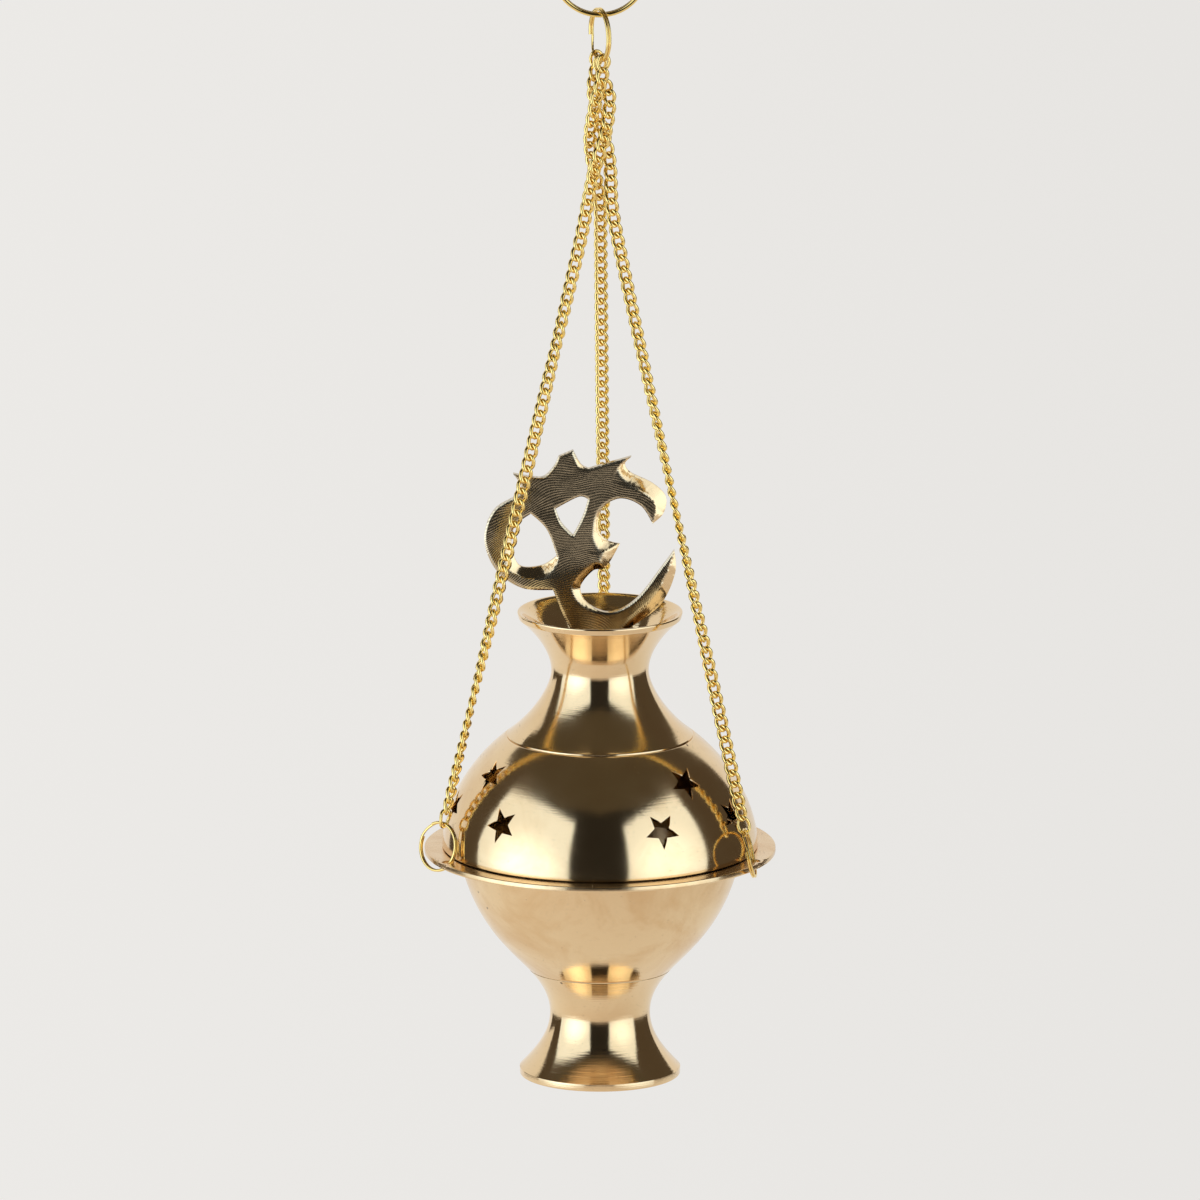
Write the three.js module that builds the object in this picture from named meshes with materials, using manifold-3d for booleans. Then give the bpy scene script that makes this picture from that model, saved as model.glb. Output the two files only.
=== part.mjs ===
// Hanging incense burner: a turned brass bowl on a foot, with a star-pierced lid that carries
// an Om plate. Three curb chains rise from split rings in the bowl's flange, twist into one
// strand and meet on a gather ring, which hangs from a larger split ring.
// Millimetres, +Z up. Heights are measured from the underside of the foot, and the last lines
// move the whole burner so that the origin is the hook point, inside the top of the big ring.
import * as THREE from 'three';
import { mergeVertices } from 'three/addons/utils/BufferGeometryUtils.js';
import Module from 'manifold-3d';

const wasm = await Module();
wasm.setup();

// Clearances
const FIT_GAP = 0.3; // between fitted or touching pieces
const SWING_GAP = 0.4; // over the big ring's double wire, so that the gather ring can rock on it

// Foot
const FOOT_RIM_RADIUS = 20.6;
const FOOT_RIM_HEIGHT = 1.9;
const FOOT_RIM_WIDTH = 2.8;
const FOOT_WAIST_RADIUS = 12.85;
const FOOT_WAIST_HEIGHT = 16.3;
const FOOT_TOP_HEIGHT = 28.0;
const FOOT_WEB_THICKNESS = 6.2;
const BOSS_RADIUS = 9.0;
const BOSS_LENGTH = 5.6;

// Bowl and flange
const WALL = 1.6;
const BOWL_FOOT_RADIUS = 17.5;
const BOWL_FLOOR_THICKNESS = 2.2;
const FLANGE_RADIUS = 45.0;
const FLANGE_WIDTH = 8.8; // from the bowl's side to the flange's edge
const FLANGE_THICKNESS = 1.4;
const FLANGE_TOP_HEIGHT = 60.0;
const FLANGE_HOLE_INSET = 2.3; // from the flange's edge to the middle of a hole
const FLANGE_HOLE_RADIUS = 1.6;

// Lid
const LID_LEDGE = 4.6; // width of the flange that shows round the dome
const DOME_TOP_RADIUS = 24.3;
const DOME_TOP_HEIGHT = 89.2;
const LID_LIP_DEPTH = 2.7;
const LID_LIP_WALL = 1.5;
const COLLAR_RADIUS = 21.0;
const COLLAR_DEPTH = 2.6;
const STAR_RADIUS = 4.7;
const STAR_WAIST = 2.05;

// Neck
const NECK_WAIST_RADIUS = 12.5;
const NECK_WAIST_HEIGHT = 106.2;
const MOUTH_RADIUS = 21.2;
const MOUTH_HEIGHT = 121.7;
const MOUTH_BAND = 1.6;
const MOUTH_LIP = 0.7;

// Om plate
const OM_THICKNESS = 2.2;
const OM_SETBACK = 7.6; // from the axis to the middle of the plate
const OM_TANG_DEPTH = 17.0; // from the mouth down to the end of the tang

// Rings: mean radius, wire depth (along the ring's radius), wire width (along its axis), facets
// in a turn, and corners of the wire's section
const FLANGE_RING = { radius: 6.4, wireDepth: 0.6, wireWidth: 0.55, facets: 14, corners: 4 };
const GATHER_RING = { radius: 6.7, wireDepth: 0.7, wireWidth: 0.6, facets: 14, corners: 4 };
const HANGING_RING = { radius: 11.9, wireDepth: 1.2, wireWidth: 1.0, facets: 18, corners: 6 };
const TURN_GAP = 0.05; // between the two turns of wire in a split ring
const RING_JOG = 36; // degrees over which the wire steps from one turn to the next
const RING_END_GAP = 4; // degrees between a wire end and that step
const GATHER_RING_HEIGHT = 272.2;
const GATHER_RING_TURN = -70; // degrees from +X to the gather ring's plane
const FLANGE_RING_REACH = 5.0; // from the hole to the ring's middle, square to the chain
const FLANGE_RING_TURN = -70; // degrees from the hole's radius to the ring's plane

// Chains
const LINK_PITCH = 2.92;
const LINK_HALF_WIDTH = 1.4; // to the middle of the wire
const LINK_END_BAR = 0.68; // half of the bar at each end
const END_LINK_HALF_LENGTH = 2.25;
const END_LINK_HALF_WIDTH = 1.65;
const END_LINK_BAR = 0.95;
const LINK_WIRE = 0.44; // from the middle of the wire to the ridge of its section
const LINK_SEAT = 0.12; // how far a link is worn into the next one
const LINK_TWIST = -45; // degrees at the upper end, and as much the other way at the lower end
const BUNDLE_RADIUS = 2.35;
const BUNDLE_HEIGHT = 230;
const BUNDLE_SOFTNESS = 1.6;
const BUNDLE_TWIST = 180;
const BUNDLE_TWIST_HEIGHT = 34;
const SPREAD_HEIGHT = 11; // over which the twisted strand fans out to the gather ring
const HOOK_SPACING = 2.6;

// Roundness
const BODY_SIDES = 24;
const OUTSIDE_STEPS = 6;
const INSIDE_STEPS = 4;

// The three strands. hole: azimuth of the hole where its flange ring hangs. seat: its place on
// the gather ring. facing: azimuth of the chain's broad side at some heights on the way up.
const STRANDS = [
  { name: 'left', hole: 205, seat: 0, facing: [[102, 90], [145, 180]] },
  { name: 'right', hole: 337, seat: -1, facing: [[90, 0], [148, 90], [205, 180]] },
  { name: 'rear', hole: 94, seat: 1, facing: [[150, -20]] },
];

// The dome has a group of three stars between each two chains. share: of the dome's height.
// aside: degrees from the middle of the group. roll: turn in the first group. more: added turn in
// each next group.
const STAR_GROUPS = [208.4, 313.8, 81.0];
const GROUP_STARS = [
  { share: 0.755, aside: 0, roll: 32, more: 0 },
  { share: 0.41, aside: -18.8, roll: 40, more: -7 },
  { share: 0.41, aside: 19.6, roll: 28, more: 13 },
];

const radians = THREE.MathUtils.degToRad;

function brass(color, roughness) {
  return new THREE.MeshStandardMaterial({ color, roughness, metalness: 1 });
}

function gold() {
  return brass('#d9b04a', 0.2);
}

function named(name, geometry, material) {
  const mesh = new THREE.Mesh(geometry, material);
  mesh.name = name;
  return mesh;
}

// Unit vector in the XY plane, and the azimuth of a vector.
function heading(degrees) {
  return new THREE.Vector3(Math.cos(radians(degrees)), Math.sin(radians(degrees)), 0);
}

function azimuthOf(vector) {
  return THREE.MathUtils.radToDeg(Math.atan2(vector.y, vector.x));
}

// Solids for cutting and joining

function toSolid(geometry) {
  const bare = geometry.clone();
  bare.deleteAttribute('normal');
  bare.deleteAttribute('uv');
  const merged = mergeVertices(bare, 1e-4);
  const kept = [];
  for (let i = 0; i < merged.index.count; i += 3) {
    const [a, b, c] = [0, 1, 2].map((k) => merged.index.getX(i + k));
    if (a !== b && b !== c && c !== a) kept.push(a, b, c);
  }
  return new wasm.Manifold(new wasm.Mesh({
    numProp: 3,
    vertProperties: new Float32Array(merged.attributes.position.array),
    triVerts: new Uint32Array(kept),
  }));
}

function toGeometry(solid) {
  const mesh = solid.getMesh();
  const geometry = new THREE.BufferGeometry();
  geometry.setAttribute('position', new THREE.BufferAttribute(mesh.vertProperties, 3));
  geometry.setIndex(new THREE.BufferAttribute(mesh.triVerts, 1));
  geometry.computeVertexNormals();
  return geometry;
}

// Turned profiles: a profile is a closed list of (radius, height) points, up the outside first.

function turned(profile) {
  const geometry = new THREE.LatheGeometry(profile, BODY_SIDES);
  geometry.rotateX(Math.PI / 2);
  return geometry;
}

function at(radius, height) {
  return new THREE.Vector2(radius, height);
}

function sweep(start, leaving, arriving, end) {
  return new THREE.CubicBezierCurve(start, leaving, arriving, end);
}

// The same curve moved inward by a wall, as points from its lower end to its upper end.
function innerPoints(curve, steps, wall) {
  const points = [];
  for (let i = 0; i <= steps; i += 1) {
    const point = curve.getPoint(i / steps);
    const tangent = curve.getTangent(i / steps);
    points.push(at(point.x - tangent.y * wall, point.y + tangent.x * wall));
  }
  return points;
}

// Radius of a list of rising points at one height.
function radiusAt(points, height) {
  const next = Math.max(1, points.findIndex((p) => p.y >= height));
  const [low, high] = [points[next - 1], points[next]];
  return THREE.MathUtils.mapLinear(height, low.y, high.y, low.x, high.x);
}

// Foot: a hollow flared stand with a thick web on top, bored for the bowl's boss.
const footFlare = sweep(
  at(FOOT_RIM_RADIUS, FOOT_RIM_HEIGHT), at(FOOT_RIM_RADIUS - 3.4, FOOT_RIM_HEIGHT + 4.4),
  at(FOOT_WAIST_RADIUS, FOOT_WAIST_HEIGHT - 5.8), at(FOOT_WAIST_RADIUS, FOOT_WAIST_HEIGHT),
);
const footRise = sweep(
  at(FOOT_WAIST_RADIUS, FOOT_WAIST_HEIGHT), at(FOOT_WAIST_RADIUS, FOOT_WAIST_HEIGHT + 5.1),
  at(BOWL_FOOT_RADIUS - 3.5, FOOT_TOP_HEIGHT - 4.1), at(BOWL_FOOT_RADIUS, FOOT_TOP_HEIGHT),
);
const footTop = FOOT_TOP_HEIGHT - FIT_GAP / 2;

function makeFoot() {
  const webUnderside = FOOT_TOP_HEIGHT - FOOT_WEB_THICKNESS;
  const outside = [
    at(FOOT_RIM_RADIUS, 0),
    ...footFlare.getPoints(OUTSIDE_STEPS),
    ...footRise.getPoints(OUTSIDE_STEPS / 2).slice(1, -1),
    at(BOWL_FOOT_RADIUS, footTop),
  ];
  const inside = [...innerPoints(footFlare, INSIDE_STEPS, WALL), ...innerPoints(footRise, 2, WALL)]
    .filter((p) => p.y > FOOT_RIM_HEIGHT + WALL && p.y < webUnderside - 1)
    .reverse();
  const bore = BOSS_RADIUS + FIT_GAP;
  const profile = [
    ...outside,
    at(bore, footTop), at(bore, webUnderside), at(inside[0].x, webUnderside),
    ...inside,
    at(FOOT_RIM_RADIUS - FOOT_RIM_WIDTH, FOOT_RIM_HEIGHT), at(FOOT_RIM_RADIUS - FOOT_RIM_WIDTH, 0),
    at(FOOT_RIM_RADIUS, 0),
  ];
  return named('foot', turned(profile), brass('#c9a368', 0.22));
}

// Bowl: one turned piece with its flange, and a boss that drops into the foot.
const flangeUnderside = FLANGE_TOP_HEIGHT - FLANGE_THICKNESS;
const bowlMouthRadius = FLANGE_RADIUS - FLANGE_WIDTH;
const bowlSide = sweep(
  at(BOWL_FOOT_RADIUS, FOOT_TOP_HEIGHT), at(BOWL_FOOT_RADIUS + 6.9, FOOT_TOP_HEIGHT + 6.0),
  at(bowlMouthRadius - 2.6, flangeUnderside - 14.1), at(bowlMouthRadius, flangeUnderside),
);
const bowlLining = innerPoints(bowlSide, INSIDE_STEPS + 1, WALL);

function makeBowl() {
  const underside = FOOT_TOP_HEIGHT + FIT_GAP / 2;
  const floor = underside + BOWL_FLOOR_THICKNESS;
  const mouth = bowlLining.at(-1).x;
  const profile = [
    at(0, underside - BOSS_LENGTH), at(BOSS_RADIUS, underside - BOSS_LENGTH), at(BOSS_RADIUS, underside),
    at(BOWL_FOOT_RADIUS, underside),
    ...bowlSide.getPoints(OUTSIDE_STEPS).slice(1),
    at(FLANGE_RADIUS, flangeUnderside), at(FLANGE_RADIUS, FLANGE_TOP_HEIGHT), at(mouth, FLANGE_TOP_HEIGHT),
    ...bowlLining.filter((p) => p.y > floor + 1).reverse(),
    at(radiusAt(bowlLining, floor), floor), at(0, floor),
  ];
  let bowl = toSolid(turned(profile));
  for (const strand of STRANDS) {
    const drill = new THREE.CylinderGeometry(FLANGE_HOLE_RADIUS, FLANGE_HOLE_RADIUS, 3 * FLANGE_THICKNESS, 12);
    drill.rotateX(Math.PI / 2);
    drill.translate(...holePlace(strand).toArray());
    bowl = bowl.subtract(toSolid(drill));
  }
  return named('bowl', toGeometry(bowl), brass('#cda96f', 0.24));
}

function holePlace(strand) {
  const place = heading(strand.hole).multiplyScalar(FLANGE_RADIUS - FLANGE_HOLE_INSET);
  place.z = FLANGE_TOP_HEIGHT - FLANGE_THICKNESS / 2;
  return place;
}

// Dome: the lid's pierced shell. A lip under it drops inside the bowl's mouth, and a collar at
// its top takes the neck.
const domeBase = FLANGE_TOP_HEIGHT + FIT_GAP;
const domeBaseRadius = FLANGE_RADIUS - LID_LEDGE;
const domeSide = sweep(
  at(domeBaseRadius, domeBase), at(domeBaseRadius + 0.1, domeBase + 8.6),
  at(DOME_TOP_RADIUS + 10.9, DOME_TOP_HEIGHT - 8.6), at(DOME_TOP_RADIUS, DOME_TOP_HEIGHT),
);

function starGeometry() {
  const shape = new THREE.Shape();
  const tips = 5;
  for (let i = 0; i < 2 * tips; i += 1) {
    const reach = i % 2 ? STAR_WAIST : STAR_RADIUS;
    const angle = Math.PI * i / tips;
    shape[i ? 'lineTo' : 'moveTo'](reach * Math.cos(angle), reach * Math.sin(angle));
  }
  const depth = 8 * WALL;
  const geometry = new THREE.ExtrudeGeometry(shape, { depth, bevelEnabled: false });
  geometry.translate(0, 0, -depth / 2);
  return geometry;
}

// A star cutter, square to the dome at this height and azimuth, turned by roll about its own axis.
function starCutter(height, azimuth, roll) {
  const steps = 200;
  let best = 0;
  for (let i = 1; i <= steps; i += 1) {
    const nearer = Math.abs(domeSide.getPoint(i / steps).y - height) < Math.abs(domeSide.getPoint(best).y - height);
    if (nearer) best = i / steps;
  }
  const point = domeSide.getPoint(best);
  const tangent = domeSide.getTangent(best);
  const outward = heading(azimuth).multiplyScalar(tangent.y).setZ(-tangent.x);
  const across = heading(azimuth + 90);
  const up = outward.clone().cross(across);
  const place = new THREE.Matrix4().makeBasis(up, across.negate(), outward);
  place.setPosition(heading(azimuth).multiplyScalar(point.x).setZ(height));
  const geometry = starGeometry();
  geometry.rotateZ(radians(roll));
  geometry.applyMatrix4(place);
  return toSolid(geometry);
}

function makeDome() {
  const top = DOME_TOP_HEIGHT - FIT_GAP / 2;
  const lipEnd = domeBase - LID_LIP_DEPTH;
  const lip = radiusAt(bowlLining, lipEnd) - FIT_GAP;
  const shelf = domeBase + WALL;
  const lining = innerPoints(domeSide, INSIDE_STEPS, WALL)
    .filter((p) => p.y > shelf + 1 && p.y < top - COLLAR_DEPTH - 0.5)
    .reverse();
  const profile = [
    at(lip - LID_LIP_WALL, lipEnd), at(lip, lipEnd), at(lip, domeBase),
    ...domeSide.getPoints(OUTSIDE_STEPS).slice(0, -1), at(DOME_TOP_RADIUS, top),
    at(COLLAR_RADIUS, top), at(COLLAR_RADIUS, top - COLLAR_DEPTH), at(lining[0].x - 1.2, top - COLLAR_DEPTH),
    ...lining,
    at(domeBaseRadius - WALL, shelf), at(lip - LID_LIP_WALL, shelf), at(lip - LID_LIP_WALL, lipEnd),
  ];
  let dome = toSolid(turned(profile));
  STAR_GROUPS.forEach((middle, group) => {
    for (const star of GROUP_STARS) {
      const height = THREE.MathUtils.lerp(domeBase, DOME_TOP_HEIGHT, star.share);
      dome = dome.subtract(starCutter(height, middle + star.aside, star.roll + star.more * group));
    }
  });
  return named('lid_dome', toGeometry(dome), brass('#cba568', 0.16));
}

// Neck: a waisted tube that flares to the mouth, with a spigot in the dome's collar.
const neckRise = sweep(
  at(DOME_TOP_RADIUS, DOME_TOP_HEIGHT), at(DOME_TOP_RADIUS - 5.9, DOME_TOP_HEIGHT + 4.7),
  at(NECK_WAIST_RADIUS, NECK_WAIST_HEIGHT - 7.0), at(NECK_WAIST_RADIUS, NECK_WAIST_HEIGHT),
);
const neckFlare = sweep(
  at(NECK_WAIST_RADIUS, NECK_WAIST_HEIGHT), at(NECK_WAIST_RADIUS, NECK_WAIST_HEIGHT + 5.3),
  at(MOUTH_RADIUS - 4.4, MOUTH_HEIGHT - MOUTH_BAND - 3.3), at(MOUTH_RADIUS, MOUTH_HEIGHT - MOUTH_BAND),
);

function makeNeck() {
  const bottom = DOME_TOP_HEIGHT + FIT_GAP / 2;
  const spigot = COLLAR_RADIUS - FIT_GAP;
  const spigotEnd = bottom - COLLAR_DEPTH;
  const throat = spigot - WALL;
  const lining = [
    ...innerPoints(neckRise, INSIDE_STEPS, WALL).filter((p) => p.x < throat - 0.4),
    ...innerPoints(neckFlare, INSIDE_STEPS, WALL).slice(1),
  ].reverse();
  const profile = [
    at(throat, spigotEnd), at(spigot, spigotEnd), at(spigot, bottom), at(DOME_TOP_RADIUS, bottom),
    ...neckRise.getPoints(OUTSIDE_STEPS - 1).slice(1),
    ...neckFlare.getPoints(OUTSIDE_STEPS - 1).slice(1),
    at(MOUTH_RADIUS, MOUTH_HEIGHT), at(MOUTH_RADIUS - MOUTH_LIP, MOUTH_HEIGHT),
    ...lining,
    at(throat, bottom + WALL), at(throat, spigotEnd),
  ];
  return named('lid_neck', turned(profile), brass('#c9a266', 0.18));
}

// Om plate: a flat cast plate whose tang stands in the throat. Every run goes through its
// points, given across and above the mouth, from one sharp corner to the next.
const OM_EDGE = [
  [[-22.2, 34.4], [-17.7, 33.6], [-14.4, 33.6], [-11.8, 36.3], [-10.6, 38.9]],
  [[-10.6, 38.9], [-6.9, 40.5]],
  [[-6.9, 40.5], [-4.9, 36.8], [-3.0, 35.7]],
  [[-3.0, 35.7], [8.0, 38.9]],
  [[8.0, 38.9], [6.4, 37.0], [7.8, 34.6], [13.5, 31.7], [16.8, 28.2], [16.3, 24.0], [13.5, 21.3]],
  [[13.5, 21.3], [10.4, 26.1], [5.1, 28.0], [0.4, 25.2], [-0.5, 20.0], [1.5, 16.9], [5.1, 15.8]],
  [[5.1, 15.8], [1.5, 9.8], [-1.8, 8.9], [-5.0, 4.5], [-3.0, 0.1], [2.7, -2.0], [9.2, 1.4], [15.7, 9.8], [19.0, 14.4]],
  [[19.0, 14.4], [19.2, 8.1], [15.3, -0.3], [6.8, -6.6]],
];
const OM_BACK_EDGE = [
  [[-7.5, -6.4], [-9.5, -2.4], [-12.0, 3.9]],
  [[-12.0, 3.9], [-20.1, 4.5], [-26.7, 9.3], [-29.6, 17.3], [-27.1, 24.8], [-20.6, 29.0], [-20.2, 31.4], [-22.2, 34.4]],
];
const OM_WINDOWS = [
  [
    [[-17.7, 24.0], [-21.8, 20.6], [-22.6, 15.6], [-20.6, 10.2], [-14.9, 10.2], [-11.0, 12.7]],
    [[-11.0, 12.7], [-13.6, 19.8], [-17.7, 24.0]],
  ],
  [
    [[-11.4, 25.3], [-9.9, 21.5], [-6.9, 18.2]],
    [[-6.9, 18.2], [-3.6, 23.2], [-3.0, 27.8]],
    [[-3.0, 27.8], [-5.5, 28.4], [-11.4, 25.3]],
  ],
];

function traceRuns(path, runs) {
  for (const run of runs) {
    const points = run.map(([across, rise]) => at(across, MOUTH_HEIGHT + rise));
    if (!path.curves.length) path.moveTo(points[0].x, points[0].y);
    if (points.length > 2) path.splineThru(points.slice(1));
    else path.lineTo(points[1].x, points[1].y);
  }
}

function makeOmPlate() {
  const throat = (NECK_WAIST_RADIUS - WALL) * Math.cos(Math.PI / BODY_SIDES) - FIT_GAP;
  const back = OM_SETBACK + OM_THICKNESS / 2;
  const tangHalf = Math.sqrt(throat * throat - back * back);
  const tangEnd = MOUTH_HEIGHT - OM_TANG_DEPTH;
  const outline = new THREE.Shape();
  traceRuns(outline, OM_EDGE);
  outline.lineTo(tangHalf, NECK_WAIST_HEIGHT);
  outline.lineTo(tangHalf, tangEnd);
  outline.lineTo(-tangHalf, tangEnd);
  outline.lineTo(-tangHalf, NECK_WAIST_HEIGHT);
  outline.lineTo(OM_BACK_EDGE[0][0][0], MOUTH_HEIGHT + OM_BACK_EDGE[0][0][1]);
  traceRuns(outline, OM_BACK_EDGE);
  for (const window of OM_WINDOWS) {
    const hole = new THREE.Path();
    traceRuns(hole, window);
    outline.holes.push(hole);
  }
  const geometry = new THREE.ExtrudeGeometry(outline, { depth: OM_THICKNESS, bevelEnabled: false, curveSegments: 2 });
  geometry.rotateX(Math.PI / 2);
  geometry.translate(0, back, 0);
  return named('om_finial', geometry, brass('#9a8a63', 0.3));
}

// Split rings: two turns of wire, with a short step where one turn passes to the other.
class SplitRingCurve extends THREE.Curve {
  constructor(ring) {
    super();
    this.radius = ring.radius;
    this.rise = ring.wireWidth + TURN_GAP;
    this.start = RING_JOG / 2 + RING_END_GAP;
  }

  getPoint(t, target = new THREE.Vector3()) {
    const turned = THREE.MathUtils.lerp(this.start, 720 - this.start, t);
    const step = THREE.MathUtils.clamp((turned - 360) / RING_JOG, -0.5, 0.5);
    return target.copy(heading(turned)).multiplyScalar(this.radius).setZ(this.rise * step);
  }
}

// The wire's section, with a corner towards the ring's middle and one away from it.
function wireSection(ring) {
  const section = new THREE.Shape();
  for (let i = 0; i < ring.corners; i += 1) {
    const angle = 2 * Math.PI * i / ring.corners - Math.PI / 2;
    const across = Math.cos(angle) / Math.cos(Math.PI / ring.corners * (ring.corners % 4 ? 1 : 0));
    section[i ? 'lineTo' : 'moveTo'](across * ring.wireWidth / 2, Math.sin(angle) * ring.wireDepth / 2);
  }
  return section;
}

// A ring at a place, with its axis along one direction and its step towards another.
function makeRing(name, ring, { centre, axis, jog }) {
  const steps = Math.round(2 * ring.facets * (1 - (RING_JOG + 2 * RING_END_GAP) / 720));
  const geometry = new THREE.ExtrudeGeometry(wireSection(ring), { steps, extrudePath: new SplitRingCurve(ring) });
  const place = new THREE.Matrix4().makeBasis(jog, axis.clone().cross(jog), axis);
  geometry.applyMatrix4(place);
  const mesh = named(name, geometry, gold());
  mesh.position.copy(centre);
  return mesh;
}

// Free radius inside a ring, at the middle of a facet.
function ringInner(ring) {
  return ring.radius * Math.cos(Math.PI / ring.facets) - ring.wireDepth / 2;
}

const UP = new THREE.Vector3(0, 0, 1);

const gatherPlane = heading(GATHER_RING_TURN);
const gatherAxis = heading(GATHER_RING_TURN + 90);
const gatherCentre = new THREE.Vector3(0, 0, GATHER_RING_HEIGHT);
const hangingWire = GATHER_RING_HEIGHT + ringInner(GATHER_RING) - SWING_GAP - HANGING_RING.wireDepth / 2;
const hangingCentre = new THREE.Vector3(0, 0, hangingWire + HANGING_RING.radius);
const hookHeight = hangingCentre.z + ringInner(HANGING_RING);

function makeGatherRing() {
  const jog = gatherPlane.clone().multiplyScalar(-0.96).addScaledVector(UP, -0.28).normalize();
  return makeRing('gather_ring', GATHER_RING, { centre: gatherCentre, axis: gatherAxis, jog });
}

function makeHangingRing() {
  const jog = heading(0).multiplyScalar(-0.9).addScaledVector(UP, 0.44).normalize();
  return makeRing('hanging_ring', HANGING_RING, { centre: hangingCentre, axis: heading(90), jog });
}

// A flange ring leans with its chain: the chain's pull lies in the ring's plane.
function ringPose(strand) {
  const hole = holePlace(strand);
  const inner = FLANGE_RING.radius - FLANGE_RING.wireDepth / 2;
  const rise = Math.sqrt(inner * inner - FLANGE_RING_REACH * FLANGE_RING_REACH);
  const bundle = heading(strand.hole).multiplyScalar(BUNDLE_RADIUS).setZ(BUNDLE_HEIGHT);
  const centre = hole.clone();
  let pull = UP.clone();
  let across = heading(strand.hole + FLANGE_RING_TURN);
  for (let i = 0; i < 4; i += 1) {
    pull = bundle.clone().sub(centre).normalize();
    across = heading(strand.hole + FLANGE_RING_TURN);
    across.addScaledVector(pull, -across.dot(pull)).normalize();
    centre.copy(hole).addScaledVector(across, FLANGE_RING_REACH).addScaledVector(pull, rise);
    bundle.copy(heading(azimuthOf(centre))).multiplyScalar(BUNDLE_RADIUS).setZ(BUNDLE_HEIGHT);
  }
  return { centre, pull, across, axis: across.clone().cross(pull) };
}

function makeFlangeRing(strand) {
  const { centre, pull, across, axis } = ringPose(strand);
  const jog = across.clone().multiplyScalar(0.85).addScaledVector(pull, 0.53).normalize();
  return makeRing(`flange_ring_${strand.name}`, FLANGE_RING, { centre, axis, jog });
}

// Chains

// A value between stops, each a height and a value, and level beyond the first and the last.
function between(stops, height) {
  const next = stops.findIndex(([stop]) => stop > height);
  if (next === 0) return stops[0][1];
  if (next < 0) return stops.at(-1)[1];
  const [[low, from], [high, to]] = [stops[next - 1], stops[next]];
  return THREE.MathUtils.mapLinear(height, low, high, from, to);
}

// A chain looks the same after half a turn, so this picks the like angle nearest to another.
function nearestHalfTurn(angle, other) {
  return other + THREE.MathUtils.euclideanModulo(angle - other + 90, 180) - 90;
}

// The middle line of one chain: straight to the bundle, a half turn round the other two, then
// out to its own place on the gather ring.
class StrandCurve extends THREE.Curve {
  constructor(strand) {
    super();
    const { centre, pull, axis } = ringPose(strand);
    this.low = centre.clone().addScaledVector(pull, ringInner(FLANGE_RING) - FIT_GAP);
    this.azimuth = azimuthOf(this.low);
    const reach = HOOK_SPACING * Math.abs(strand.seat) + LINK_WIRE * Math.sqrt(3) / 2;
    const inner = ringInner(GATHER_RING);
    this.high = gatherPlane.clone().multiplyScalar(HOOK_SPACING * strand.seat);
    this.high.z = GATHER_RING_HEIGHT - Math.sqrt(inner * inner - reach * reach) + FIT_GAP;
    this.facing = [
      [this.low.z, nearestHalfTurn(azimuthOf(axis), strand.facing[0][1])],
      ...strand.facing,
      [this.high.z - SPREAD_HEIGHT, nearestHalfTurn(azimuthOf(gatherAxis), strand.facing.at(-1)[1])],
    ];
  }

  polarAzimuth(height) {
    const end = BUNDLE_HEIGHT + BUNDLE_TWIST_HEIGHT;
    return this.azimuth + BUNDLE_TWIST * THREE.MathUtils.smoothstep(height, BUNDLE_HEIGHT - 4, end);
  }

  getPoint(t, target = new THREE.Vector3()) {
    const height = THREE.MathUtils.lerp(this.low.z, this.high.z, t);
    const foot = Math.hypot(this.low.x, this.low.y);
    const spare = THREE.MathUtils.mapLinear(height, this.low.z, BUNDLE_HEIGHT, foot, BUNDLE_RADIUS) - BUNDLE_RADIUS;
    const radius = BUNDLE_RADIUS + (spare + Math.hypot(spare, BUNDLE_SOFTNESS)) / 2;
    target.copy(heading(this.polarAzimuth(height))).multiplyScalar(radius);
    const spread = THREE.MathUtils.smoothstep(height, this.high.z - SPREAD_HEIGHT, this.high.z - 2);
    target.lerp(this.high, spread);
    return target.setZ(height);
  }

  // Direction of the chain's broad side at a height.
  breadth(height) {
    return heading(between(this.facing, height));
  }
}

// Outward offset directions at the corners of a closed outline that runs anticlockwise.
function cornerOffsets(outline) {
  return outline.map((point, i) => {
    const before = outline.at(i - 1);
    const after = outline[(i + 1) % outline.length];
    const sides = [point.clone().sub(before), after.clone().sub(point)];
    const [first, second] = sides.map((side) => at(side.y, -side.x).normalize());
    return first.clone().add(second).divideScalar(1 + first.dot(second));
  });
}

// One link about its own middle, length along Z and breadth along X. Its wire is three-sided,
// with a ridge on the inside of the link, and each end is turned about the length.
function linkGeometry({ halfLength, halfWidth, bar, lowTwist, highTwist }) {
  const outline = [
    at(bar, -halfLength), at(halfWidth, 0), at(bar, halfLength),
    at(-bar, halfLength), at(-halfWidth, 0), at(-bar, -halfLength),
  ];
  const offsets = cornerOffsets(outline);
  const section = [[-1, 0], [0.5, -Math.sqrt(3) / 2], [0.5, Math.sqrt(3) / 2]];
  const positions = [];
  outline.forEach((point, i) => {
    const reach = Math.min(1, Math.abs(point.y) / (LINK_PITCH / 2));
    const twist = radians(reach * (point.y > 0 ? highTwist : lowTwist));
    for (const [out, aside] of section) {
      const edge = point.clone().addScaledVector(offsets[i], out * LINK_WIRE);
      const corner = new THREE.Vector3(edge.x, aside * LINK_WIRE, edge.y).applyAxisAngle(UP, twist);
      positions.push(...corner.toArray());
    }
  });
  const index = [];
  outline.forEach((point, i) => {
    const next = (i + 1) % outline.length;
    section.forEach((corner, k) => {
      const other = (k + 1) % section.length;
      const [a, b, c, d] = [3 * i + k, 3 * next + k, 3 * next + other, 3 * i + other];
      index.push(a, c, b, a, d, c);
    });
  });
  const geometry = new THREE.BufferGeometry();
  geometry.setAttribute('position', new THREE.Float32BufferAttribute(positions, 3));
  geometry.setIndex(index);
  return geometry;
}

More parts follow.
